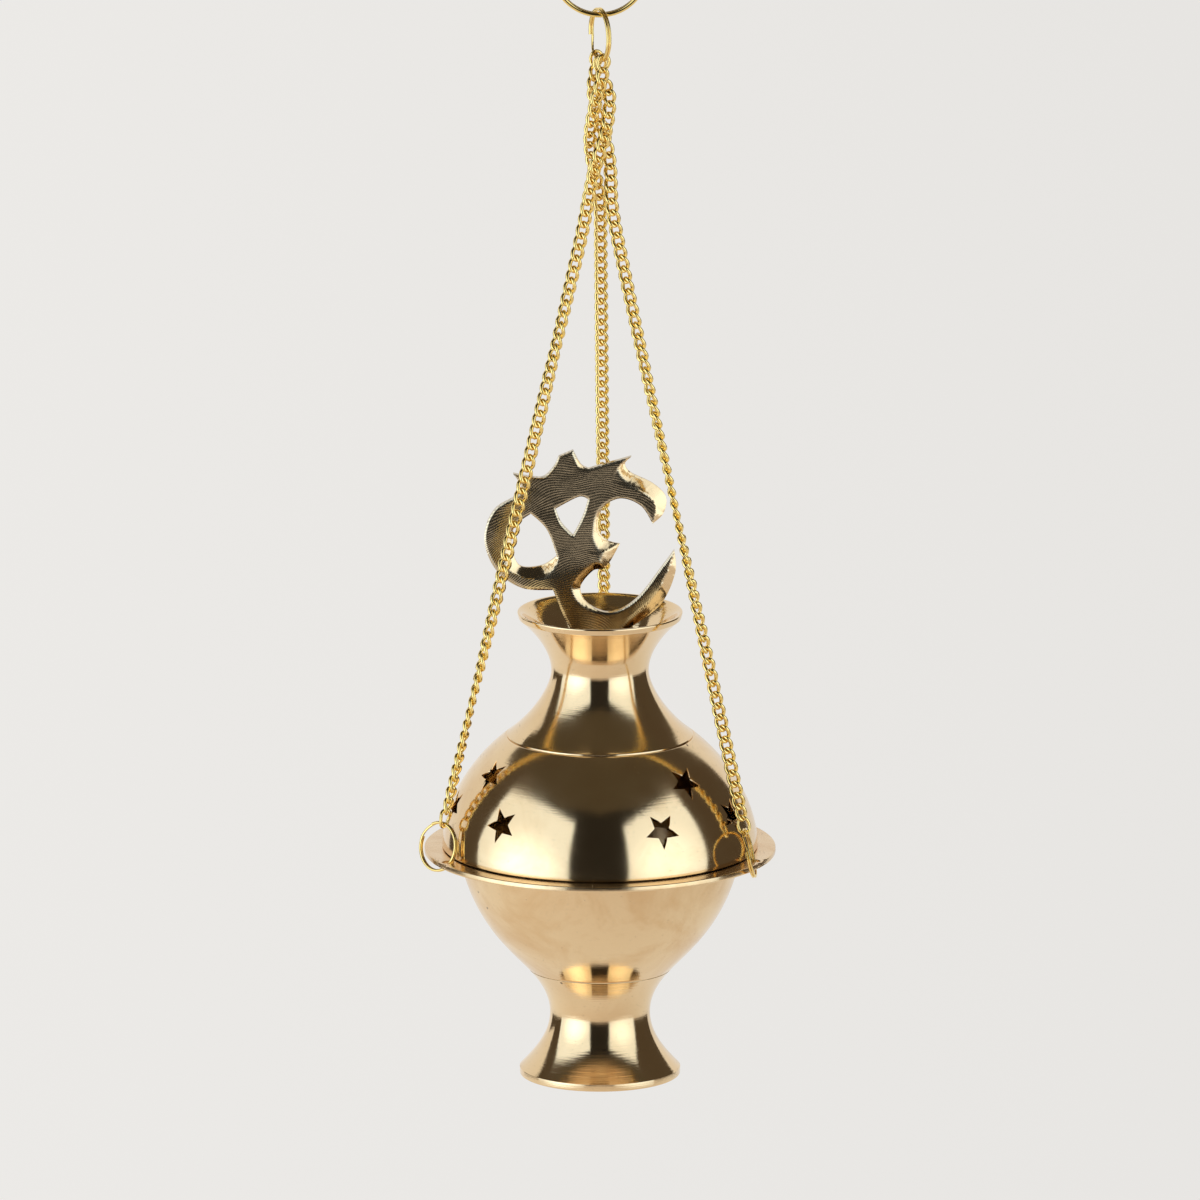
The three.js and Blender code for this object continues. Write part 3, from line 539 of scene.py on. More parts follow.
def foot_profile():
    """The flared foot: up the outside, then down through the bore, the web and the flare."""
    top = FOOT_TOP_HEIGHT - SEAM / 2
    web = FOOT_TOP_HEIGHT - FOOT_WEB_THICKNESS
    bore = BOSS_RADIUS + FIT_GAP
    outside = np.vstack([bezier(FOOT_FLARE, 70), bezier(FOOT_RISE, 50)[1:]])
    outside = outside[outside[:, 1] < top - 0.1]
    inside = inward(np.vstack([bezier(FOOT_FLARE, 40), bezier(FOOT_RISE, 24)[1:]]), WALL)
    inside = inside[(inside[:, 1] > FOOT_RIM_HEIGHT + WALL) & (inside[:, 1] < web - 1)][::-1]
    return profile_of(
        (FOOT_RIM_RADIUS, 0, 0.5), outside, (BOWL_FOOT_RADIUS, top, SEAM_EASE), (bore, top, 0.2),
        (bore, web, 0.2), (inside[0, 0], web, 0.4), inside,
        (FOOT_RIM_RADIUS - FOOT_RIM_WIDTH, FOOT_RIM_HEIGHT, 0.4),
        (FOOT_RIM_RADIUS - FOOT_RIM_WIDTH, 0, 0.4))


def bowl_profile():
    """The bowl with its boss and flange. Returns the profile and the flange's two faces."""
    underside = FOOT_TOP_HEIGHT + SEAM / 2
    floor = underside + BOWL_FLOOR_THICKNESS
    side = bezier(BOWL_SIDE, 80)
    lining = inward(bezier(BOWL_SIDE, 70), WALL)
    mouth = lining[-1, 0]
    lining = lining[(lining[:, 1] > floor + 1) & (lining[:, 1] < FLANGE_UNDERSIDE)][::-1]
    shelf = np.linspace(BOWL_MOUTH_RADIUS + 0.8, FLANGE_RADIUS - 0.55, SHELF_POINTS)
    under = np.column_stack([shelf, np.full(SHELF_POINTS, FLANGE_UNDERSIDE)])
    over = np.column_stack([shelf[::-1], np.full(SHELF_POINTS, FLANGE_TOP_HEIGHT)])
    profile = profile_of(
        (0, underside - BOSS_LENGTH, 0), (BOSS_RADIUS, underside - BOSS_LENGTH, 0.4),
        (BOSS_RADIUS, underside, 0.2), (BOWL_FOOT_RADIUS - SEAM_BAND_IN, underside, SEAM_BAND_EASE),
        (BOWL_FOOT_RADIUS + SEAM_BAND_OUT, underside + BOWL_SEAM_BAND, SEAM_BAND_EASE),
        side[side[:, 1] > underside + BOWL_SEAM_BAND + SEAM_BAND_GAP], under,
        (FLANGE_RADIUS, FLANGE_UNDERSIDE, 0.4), (FLANGE_RADIUS, FLANGE_TOP_HEIGHT, 0.4), over,
        (mouth, FLANGE_TOP_HEIGHT, 0.4), lining, (lining[-1, 0] - 2, floor, 1.0), (0, floor, 0))
    return profile, (point_at(profile, under[0]), point_at(profile, over[-1]))


def dome_profile():
    """The lid's shell, with its lip and collar. Returns the profile and its two faces."""
    top = DOME_TOP_HEIGHT - SEAM / 2
    lip_end = DOME_BASE - LID_LIP_DEPTH
    lining = inward(bezier(BOWL_SIDE, 70), WALL)
    lip = np.interp(lip_end, lining[:, 1], lining[:, 0]) - FIT_GAP
    shelf = DOME_BASE + WALL
    outside = bezier(DOME_SIDE, 96)
    inside = inward(outside, WALL)
    low = int(np.searchsorted(inside[:, 1], shelf + 1))
    high = int(np.searchsorted(inside[:, 1], top - COLLAR_DEPTH - 0.5))
    band = inside[low:high][::-1]
    profile = profile_of(
        (lip - LID_LIP_WALL, lip_end, 0.3), (lip, lip_end, 0.3), (lip, DOME_BASE, 0),
        (DOME_BASE_RADIUS, DOME_BASE, 0.25), outside[1:-1], (DOME_TOP_RADIUS, top, SEAM_EASE),
        (COLLAR_RADIUS, top, 0.3), (COLLAR_RADIUS, top - COLLAR_DEPTH, 0),
        (band[0, 0] - 1.2, top - COLLAR_DEPTH, 0), band, (DOME_BASE_RADIUS - WALL, shelf, 0.5),
        (lip - LID_LIP_WALL, shelf, 0.3))
    return profile, (point_at(profile, outside[low]), point_at(profile, inside[low]))


def neck_profile():
    """The waisted neck: spigot, rise, flare, mouth band, then down the lining."""
    bottom = DOME_TOP_HEIGHT + SEAM / 2
    spigot = COLLAR_RADIUS - FIT_GAP
    throat = spigot - WALL
    rise, flare = bezier(NECK_RISE, 66), bezier(NECK_FLARE, 54)
    brow = bottom + NECK_SEAM_BAND
    edge = np.interp(brow, rise[:, 1], rise[:, 0]) + SEAM_BAND_OUT
    lining = np.vstack([inward(rise, WALL), inward(flare, WALL)[1:]])
    lining = lining[(lining[:, 1] >= NECK_WAIST_HEIGHT) | (lining[:, 0] < throat - 0.4)][::-1]
    return profile_of(
        (throat, bottom - COLLAR_DEPTH, 0.3), (spigot, bottom - COLLAR_DEPTH, 0.3), (spigot, bottom, 0),
        (edge, bottom, SEAM_BAND_EASE), (edge, brow, SEAM_BAND_EASE),
        rise[rise[:, 1] > brow + SEAM_BAND_GAP], flare[1:-1],
        (MOUTH_RADIUS - MOUTH_SLANT, MOUTH_HEIGHT - MOUTH_BAND, 0.3),
        (MOUTH_RADIUS, MOUTH_HEIGHT, 0.45), (MOUTH_RADIUS - MOUTH_LIP, MOUTH_HEIGHT, 0.3), lining,
        (throat, bottom + WALL, 0.3))


# Wire: rings and links

def tube(path, across, beside, half_depth, half_width, sides, closed):
    """A tube of oval section: point (i, j) = path_i + a cos(u_j) across_i + b sin(u_j) beside_i.
    An open tube is closed by a fan on each end."""
    count = len(path)
    u = 2 * np.pi * (np.arange(sides) + 0.5) / sides
    points = (path[:, None] + half_depth * np.cos(u)[None, :, None] * across[:, None]
              + half_width * np.sin(u)[None, :, None] * beside[:, None]).reshape(-1, 3)
    index = np.arange(count * sides).reshape(count, sides)
    this, after = (index, np.roll(index, -1, 0)) if closed else (index[:-1], index[1:])
    quads = np.stack([this, np.roll(this, -1, 1), np.roll(after, -1, 1), after], -1).reshape(-1, 4)
    if closed:
        return points, [quads]
    ends = np.array([path[0], path[-1]])
    first, last = count * sides, count * sides + 1
    caps = [np.stack([np.full(sides, first), np.roll(index[0], -1), index[0]], -1),
            np.stack([np.full(sides, last), index[-1], np.roll(index[-1], -1)], -1)]
    return np.concatenate([points, ends]), [quads] + caps


def split_ring(wire, centre, axis, jog):
    """Two turns of wire: (R cos a, R sin a, h s), a from start to 720 - start degrees, where s
    steps from -0.5 to 0.5 while a passes 360, and h is one wire's width."""
    radius, depth, width = wire
    start = RING_JOG / 2 + RING_END_GAP
    turned = np.linspace(start, 720 - start, RING_SAMPLES)
    rise = (width + TURN_GAP) * np.clip((turned - 360) / RING_JOG, -0.5, 0.5)
    basis = np.stack([jog, np.cross(axis, jog), axis])
    local = heading(turned)
    path = radius * local + rise[:, None] * [0, 0, 1]
    beside = np.tile([0.0, 0.0, 1.0], (len(path), 1))
    points, faces = tube(path, local, beside, depth / 2, width / 2, RING_SIDES, False)
    return points @ basis + centre, faces


def jog_towards(shares, across, pull):
    """Unit vector of a across + b pull, for the shares (a, b)."""
    return unit(shares[0] * across + shares[1] * pull)


def ring_inner(ring):
    """Free radius inside the model's faceted ring: R cos(pi / facets) - depth / 2."""
    return ring[0] * math.cos(math.pi / ring[3]) - ring[1] / 2


def ring_pose(hole):
    """Centre, pull, direction across and axis of a flange ring. The ring hangs on its hole, and
    the pull of the chain towards the bundle lies in its plane. Centre and pull depend on each
    other, so they are found in four rounds."""
    place = heading(float(hole)) * FLANGE_HOLE_CIRCLE
    place[2] = FLANGE_TOP_HEIGHT - FLANGE_THICKNESS / 2
    inner = FLANGE_RING[0] - FLANGE_RING[1] / 2
    rise = math.sqrt(inner * inner - FLANGE_RING_REACH ** 2)
    bundle = heading(float(hole)) * BUNDLE_RADIUS + [0, 0, BUNDLE_HEIGHT]
    centre = place
    for _ in range(4):
        pull = unit(bundle - centre)
        across = heading(float(hole + FLANGE_RING_TURN))
        across = unit(across - across @ pull * pull)
        centre = place + FLANGE_RING_REACH * across + rise * pull
        bundle = unit(centre * [1, 1, 0]) * BUNDLE_RADIUS + [0, 0, BUNDLE_HEIGHT]
    return centre, pull, across, np.cross(across, pull)


def near_half_turn(angle, other):
    """The angle plus a whole number of half turns that lies nearest to another."""
    return other + (angle - other + 90) % 180 - 90


def strand_curve(strand):
    """Middle line of a chain: straight to the bundle, half a turn round the other two, then out
    to its seat on the gather ring. Its distance from the axis is r + (s + sqrt(s s + e e)) / 2,
    with r the bundle's radius and s the rest of a straight way to it. Returns the line, its
    lengths and the azimuths it faces."""
    hole, seat, facing = STRANDS[strand]
    centre, pull, _, axis = ring_pose(hole)
    low = centre + (ring_inner(FLANGE_RING) - FIT_GAP) * pull
    inner = ring_inner(GATHER_RING)
    reach = HOOK_SPACING * abs(seat) + LINK_WIRE * math.sqrt(3) / 2
    high = heading(float(GATHER_RING_TURN)) * HOOK_SPACING * seat
    high[2] = GATHER_RING_HEIGHT - math.sqrt(inner * inner - reach * reach) + FIT_GAP
    height = np.linspace(low[2], high[2], STRAND_SAMPLES)
    twist = BUNDLE_TWIST * smoothstep(height - BUNDLE_HEIGHT, *BUNDLE_TWIST_SPAN)
    azimuth = math.degrees(math.atan2(low[1], low[0])) + twist
    spare = math.hypot(low[0], low[1]) - BUNDLE_RADIUS
    spare = spare * (BUNDLE_HEIGHT - height) / (BUNDLE_HEIGHT - low[2])
    radius = BUNDLE_RADIUS + (spare + np.hypot(spare, BUNDLE_SOFTNESS)) / 2
    line = heading(azimuth) * radius[:, None]
    line = line + smoothstep(height - high[2], *SPREAD_SPAN)[:, None] * (high - line)
    line[:, 2] = height
    axis_azimuth = math.degrees(math.atan2(axis[1], axis[0]))
    stops = [(low[2], near_half_turn(axis_azimuth, facing[0][1])), *facing,
             (high[2] + SPREAD_SPAN[0], near_half_turn(GATHER_RING_TURN + 90, facing[-1][1]))]
    return line, lengths_along(line), np.array(stops, float)


def link_form(half_length, half_width, low_twist, high_twist, wire):
    """One curb link: the oval (w sgn(c) |c|^0.9, 0, h s), c and s the cosine and
    sine of one turn, as round wire, then turned about its length by the twist times z / h."""
    turn = 2 * np.pi * (np.arange(LINK_CORNERS) + 0.5) / LINK_CORNERS
    c, s = np.cos(turn), np.sin(turn)
    path = np.stack([half_width * np.sign(c) * np.abs(c) ** LINK_ROUNDNESS, 0 * c, half_length * s], -1)
    ahead = unit(np.roll(path, -1, 0) - np.roll(path, 1, 0))
    side = np.tile([0.0, 1.0, 0.0], (LINK_CORNERS, 1))
    points, faces = tube(path, np.cross(side, ahead), side, wire, wire, LINK_SIDES, True)
    share = np.clip(np.abs(points[:, 2]) / half_length, 0, 1)
    twist = np.radians(np.where(points[:, 2] > 0, high_twist, low_twist) * share)
    x, y, z = points.T
    turned = [x * np.cos(twist) - y * np.sin(twist), x * np.sin(twist) + y * np.cos(twist), z]
    return np.stack(turned, -1), faces[0]


def chain_links(strand, wire, half_width):
    """All links of a chain: link k's form is carried to the line at its own length. The two
    end links are of finer wire, so that the rings turn in them, and the second is narrower, so
    that the lid lifts past it."""
    line, lengths, stops = strand_curve(strand)
    whole = lengths[-1]
    end_inner = 2 * (END_LINK_HALF_LENGTH - LINK_WIRE)
    count = round((whole - 2 * end_inner) / LINK_PITCH)
    inner = (whole - 2 * end_inner - (count + 1) * LINK_SEAT) / count
    pitch = inner + LINK_SEAT
    first = end_inner + LINK_SEAT + inner / 2
    middles = np.concatenate([[end_inner / 2], first + np.arange(count) * pitch, [whole - end_inner / 2]])
    ahead = unit(np.gradient(line, axis=0))
    places, tangent = (
        np.stack([np.interp(middles, lengths, rows[:, k]) for k in range(3)], -1) for rows in (line, ahead))
    tangent = unit(tangent)
    breadth = heading(np.interp(places[:, 2], stops[:, 0], stops[:, 1]))
    breadth = unit(breadth - np.sum(breadth * tangent, 1)[:, None] * tangent)
    basis = np.stack([breadth, np.cross(tangent, breadth), tangent], 1)
    half, end_half = pitch / 2 + wire, end_inner / 2 + LINK_WIRE
    form, quads = link_form(half, half_width, -LINK_TWIST, LINK_TWIST, wire)
    lowest, _ = link_form(end_half, half_width * LOWEST_LINK, 0, LINK_TWIST, LINK_WIRE)
    second, _ = link_form(half, half_width * SECOND_LINK, -LINK_TWIST, LINK_TWIST, wire)
    top, _ = link_form(end_half, half_width * TOP_LINK, -LINK_TWIST, 0, LINK_WIRE)
    forms = np.stack([lowest, second] + [form] * (count - 1) + [top])
    points = forms @ basis + places[:, None]
    faces = (quads[None] + len(form) * np.arange(count + 2)[:, None, None]).reshape(-1, 4)
    return points.reshape(-1, 3), [faces]


# Om plate

def spline(knots, spacing):
    """Catmull-Rom curve through the knots: between p1 and p2 it is
    (2 p1 - 2 p2 + m0 + m1) t^3 + (-3 p1 + 3 p2 - 2 m0 - m1) t^2 + m0 t + p1,
    with m0 = (p2 - p0) / 2 and m1 = (p3 - p1) / 2. The bevel's width is read evenly."""
    knots = np.array(knots, float)
    if len(knots) == 2:
        count = max(2, int(np.linalg.norm(knots[1, :2] - knots[0, :2]) / spacing))
        return knots[0] + np.linspace(0, 1, count, endpoint=False)[:, None] * (knots[1] - knots[0])
    last = len(knots) - 1
    along = np.linspace(0, last, OM_KNOT_STEPS * last + 1)[:-1]
    k = along.astype(int)
    t = (along - k)[:, None]
    p0, p1 = knots[np.maximum(k - 1, 0)], knots[k]
    p2, p3 = knots[k + 1], knots[np.minimum(k + 2, last)]
    m0, m1 = (p2 - p0) / 2, (p3 - p1) / 2
    curve = (2 * p1 - 2 * p2 + m0 + m1) * t ** 3 + (3 * p2 - 3 * p1 - 2 * m0 - m1) * t * t + m0 * t + p1
    curve[:, 2] = (p1 + t * (p2 - p1))[:, 2]
    gone = lengths_along(curve[:, :2])
    whole = gone[-1] + np.linalg.norm(knots[-1, :2] - curve[-1, :2])
    count = max(3, int(whole / spacing))
    even = np.linspace(0, whole, count, endpoint=False)
    return np.stack([np.interp(even, gone, curve[:, c]) for c in range(3)], -1)


def om_loops():
    """The plate's closed outlines as (across, height, bevel width), the outer one first. Its tang
    is as wide as the model's neck, whose lining has 24 sides, lets it be."""
    throat = (NECK_WAIST_RADIUS - WALL) * math.cos(math.pi / 24) - FIT_GAP
    half = math.sqrt(throat ** 2 - (OM_SETBACK + OM_THICKNESS / 2) ** 2)
    waist, end = NECK_WAIST_HEIGHT - MOUTH_HEIGHT, -OM_TANG_DEPTH
    edge, back = OM_EDGE[-1][-1], OM_BACK_EDGE[0][0]
    sides = ((half, waist), (half, end), (-half, end), (-half, waist))
    tang = [edge, *((x, z, OM_TANG_BEVEL) for x, z in sides), back]
    runs = [*OM_EDGE, *zip(tang, tang[1:]), *OM_BACK_EDGE]
    return [np.concatenate([spline(run, OM_GRAIN) for run in loop]) for loop in (runs, *OM_WINDOWS)]


def inside_of(spots, loops):
    """Even-odd test: a spot is inside where a level ray from it crosses the loops an odd number
    of times."""
    crossed = np.zeros(len(spots), int)
    for loop in loops:
        a, b = loop[:, :2], np.roll(loop[:, :2], -1, 0)
        x, z = spots[:, :1], spots[:, 1:2]
        spans = (a[:, 1] > z) != (b[:, 1] > z)
        rise = np.where(b[:, 1] == a[:, 1], 1, b[:, 1] - a[:, 1])
        crossed += np.sum(spans & (x < a[:, 0] + (z - a[:, 1]) * (b[:, 0] - a[:, 0]) / rise), 1)
    return crossed % 2 == 1


def nearest_edge(spots, edge):
    """Number of and distance to the edge point nearest to each spot, in 24 parts to spare memory."""
    parts = [np.linalg.norm(part[:, None] - edge[None, :, :2], axis=2) for part in np.array_split(spots, 24)]
    return (np.concatenate([part.argmin(1) for part in parts]),
            np.concatenate([part.min(1) for part in parts]))


def face_spots(edge, loops):
    """Points over the plate's face, clear of the edge points. Its rows stand 0.866 of a grain
    apart, and every other row is moved by half a grain, as in a grid of even triangles."""
    low, high = edge[:, :2].min(0), edge[:, :2].max(0)
    across = np.arange(low[0], high[0], OM_GRAIN)
    up = np.arange(low[1], high[1], OM_GRAIN * 0.866)
    grid_x, grid_z = np.meshgrid(across, up)
    grid_x = grid_x + (np.arange(len(up)) % 2)[:, None] * OM_GRAIN / 2
    spots = np.stack([grid_x.ravel(), grid_z.ravel()], -1)
    spots = spots[inside_of(spots, loops)]
    return spots[nearest_edge(spots, edge)[1] > 0.55 * OM_GRAIN]


def om_plate(tilt):
    """The plate's front falls away towards its edge: drop = tan(tilt) (u + sqrt(u u + e e)) / 2
    with u = w - d and e = 0.3 w, where d is the distance to the nearest edge point and w the
    bevel's width there. The back is flat with a narrow ease. The mark bevel is 1 on the bevels."""
    loops = om_loops()
    edge = np.concatenate(loops)
    spots = np.concatenate([edge[:, :2], face_spots(edge, loops)])
    starts = np.cumsum([0] + [len(loop) for loop in loops])
    rims = [np.arange(a, b) for a, b in zip(starts, starts[1:])]
    edges = np.concatenate([np.stack([rim, np.roll(rim, -1)], -1) for rim in rims])
    flat, _, triangles, *_ = delaunay_2d_cdt([Vector(p) for p in spots], edges.tolist(), [], 0, 1e-6)
    flat, triangles = np.array([tuple(p) for p in flat]), np.array(triangles)
    triangles = triangles[inside_of(flat[triangles].mean(1), loops)]
    a, b, c = (flat[triangles[:, k]] for k in range(3))
    wrong = cross(b - a, c - a) < 0
    triangles[wrong] = triangles[wrong][:, ::-1]
    nearest, distance = nearest_edge(flat, edge)
    width = edge[nearest, 2]
    spare = width - distance
    drop = math.tan(tilt) * (spare + np.hypot(spare, OM_RIDGE_SOFTNESS * width)) / 2
    rounding = np.exp(-(distance / OM_ROUNDING) ** 2)
    drop = np.minimum(drop + OM_FRONT_FALL * rounding, OM_THICKNESS - OM_LEAST_THICKNESS)
    front = OM_SETBACK - OM_THICKNESS / 2 + drop
    back = OM_SETBACK + OM_THICKNESS / 2 - OM_BACK_FALL * rounding
    height = flat[:, 1] + MOUTH_HEIGHT
    points = np.concatenate([np.stack([flat[:, 0], depth, height], -1) for depth in (front, back)])
    size = len(flat)
    walls = []
    for rim in rims:
        ahead = np.roll(rim, -1)
        walls.append(np.stack([rim, ahead, ahead + size, rim + size], -1))
    buffed = smoothstep(spare, -0.1, 0.4) * (width > OM_BUFFED_WIDTH)
    faces = [triangles, triangles[:, ::-1] + size, np.concatenate(walls)]
    return points, faces, np.concatenate([buffed, np.zeros(size)])


# Materials

def add(tree, kind, inputs=None, **settings):
    """Adds a node with its settings, and its inputs as values or as links. A link comes from a
    socket, or from the first output of a node."""
    made = tree.nodes.new(kind)
    for key, value in settings.items():
        setattr(made, key, value)
    for key, value in (inputs or {}).items():
        if isinstance(value, bpy.types.Node):
            value = value.outputs[0]
        if isinstance(value, bpy.types.NodeSocket):
            tree.links.new(value, made.inputs[key])
        else:
            made.inputs[key].default_value = value
    return made


def per(size):
    """The scale of a texture whose features are that many millimetres apart."""
    return 1 / (size * MM)


def start_material(name):
    """An empty node material and its tree."""
    material = bpy.data.materials.new(name)
    material.use_nodes = True
    material.node_tree.nodes.clear()
    return material, material.node_tree


def end_metal(tree, colour, roughness, normal):
    """A metal surface: its colour and roughness vary, and its IOR stays at the default."""
    surface = add(tree, "ShaderNodeBsdfPrincipled", {
        "Base Color": colour, "Roughness": roughness, "Metallic": 1.0, "Normal": normal})
    add(tree, "ShaderNodeOutputMaterial", {"Surface": surface})
    return surface


def turning_lines(tree, split):
    """Noise in thin rings, one after another along the turned profile."""
    mark = add(tree, "ShaderNodeAttribute", attribute_name="turning").outputs["Fac"]
    rings = add(tree, "ShaderNodeMath", {0: mark, 1: 1 / TURNING_SPACING}, operation="MULTIPLY")
    slow_x, slow_y = (
        add(tree, "ShaderNodeMath", {0: split.outputs[axis], 1: per(TURNING_RUN)}, operation="MULTIPLY")
        for axis in "XY")
    space = add(tree, "ShaderNodeCombineXYZ", {"X": slow_x, "Y": slow_y, "Z": rings})
    return add(tree, "ShaderNodeTexNoise", {"Vector": space, "Scale": 1.0, "Detail": 3.0, "Roughness": 0.6})


def polish_by_height(tree, split, polish):
    """The roughness, from (height, value) stops up the piece."""
    low, high = polish[0][0], polish[-1][0]
    level = add(tree, "ShaderNodeMapRange", {
        "Value": split.outputs["Z"],
        "From Min": (low - HOOK_HEIGHT) * MM, "From Max": (high - HOOK_HEIGHT) * MM})
    stops = add(tree, "ShaderNodeValToRGB", {"Fac": level})
    ramp = stops.color_ramp.elements
    while len(ramp) < len(polish):
        ramp.new(1.0)
    for stop, (height, value) in zip(ramp, polish):
        stop.position = (height - low) / (high - low)
        stop.color = (value, value, value, 1.0)
    return stops


def polished_turned_brass(part, scene):
    """Yellow brass, turned on a lathe and buffed. The eye gets a pale champagne mirror that the
    tool's fine rings smear along the profile, clouds of brown tarnish, small pits and hair
    scratches."""
    polish, smear, deepening, stain = TURNED_BRASS[part]
    colour = tuple(scene.burner_colours.turned_brass)
    material, tree = start_material(f"polished_turned_brass_{part}")
    place = add(tree, "ShaderNodeTexCoord").outputs["Object"]
    split = add(tree, "ShaderNodeSeparateXYZ", {"Vector": place})
    clouds = add(tree, "ShaderNodeTexNoise", {
        "Vector": place, "Scale": per(TARNISH_CLOUD), "Detail": 6.0, "Roughness": 0.62, "Distortion": 0.6})
    tarnish = add(tree, "ShaderNodeMapRange", {
        "Value": clouds, "From Min": 0.44, "From Max": 0.68, "To Max": stain})
    smears = add(tree, "ShaderNodeTexNoise", {"Vector": place, "Scale": per(BUFFING_SMEAR), "Detail": 3.0})
    # Pits, in about a quarter of the cells
    pits = add(tree, "ShaderNodeTexVoronoi", {"Vector": place, "Scale": per(PIT_SPACING)})
    specks = add(tree, "ShaderNodeMapRange", {
        "Value": pits, "From Min": 0.05, "From Max": 0.09, "To Min": 1.0, "To Max": 0.0})
    chosen = add(tree, "ShaderNodeMath", {0: pits.outputs["Color"], 1: 0.72}, operation="GREATER_THAN")
    spotted = add(tree, "ShaderNodeMath", {0: specks, 1: chosen}, operation="MULTIPLY")
    # Hair scratches, long and thin, all leaning one way
    hair_space = add(tree, "ShaderNodeMapping", {
        "Vector": place, "Rotation": (0.5, 0.3, 0.9), "Scale": (per(HAIR_GAP), per(HAIR_RUN), per(HAIR_GAP))})
    hairs = add(tree, "ShaderNodeTexNoise", {"Vector": hair_space, "Scale": 1.0, "Detail": 1.0})
    scratched = add(tree, "ShaderNodeMapRange", {
        "Value": hairs, "From Min": 0.70, "From Max": 0.78, "To Max": 0.3})
    scuffed = add(tree, "ShaderNodeMapRange", {
        "Value": hairs, "From Min": 0.74, "From Max": 0.80, "To Max": 0.12})
    marks = add(tree, "ShaderNodeMath", {0: spotted, 1: scratched}, operation="MAXIMUM")
    # Colour
    warm = (*(c * f for c, f in zip(colour, TARNISH_TINT)), 1.0)
    tinted = add(tree, "ShaderNodeMix", {"Factor": tarnish, "A": (*colour, 1.0), "B": warm}, data_type="RGBA")
    pitted = add(tree, "ShaderNodeMix", {
        "Factor": marks, "A": tinted.outputs["Result"], "B": (*linear(PIT_COLOUR), 1.0)}, data_type="RGBA")
    # Roughness
    buffed = add(tree, "ShaderNodeMapRange", {
        "Value": smears, "From Min": 0.3, "From Max": 0.75, "To Min": 0.85, "To Max": 1.25})
    polished = add(tree, "ShaderNodeMath", {
        0: polish_by_height(tree, split, polish), 1: buffed}, operation="MULTIPLY")
    dulled = add(tree, "ShaderNodeMath", {0: tarnish, 1: 0.07, 2: polished}, operation="MULTIPLY_ADD")
    roughness = add(tree, "ShaderNodeMath", {0: dulled, 1: scuffed}, operation="ADD")
    # Relief
    relief = add(tree, "ShaderNodeBump", {
        "Strength": 1.0, "Distance": deepening * scene.burner_sizes.turning_depth,
        "Height": turning_lines(tree, split)})
    uneven = add(tree, "ShaderNodeBump", {
        "Strength": 1.0, "Distance": 0.005 * MM, "Height": smears, "Normal": relief})
    surface = end_metal(tree, pitted.outputs["Result"], roughness, uneven)
    # The smear: a tangent round the axis, (y, -x, 0), turned a quarter to run along the profile
    back_x = add(tree, "ShaderNodeMath", {0: split.outputs["X"], 1: -1.0}, operation="MULTIPLY")
    round_axis = add(tree, "ShaderNodeCombineXYZ", {"X": split.outputs["Y"], "Y": back_x})
    surface.inputs["Anisotropic"].default_value = smear
    surface.inputs["Anisotropic Rotation"].default_value = 0.25
    tree.links.new(round_axis.outputs[0], surface.inputs["Tangent"])
    return material


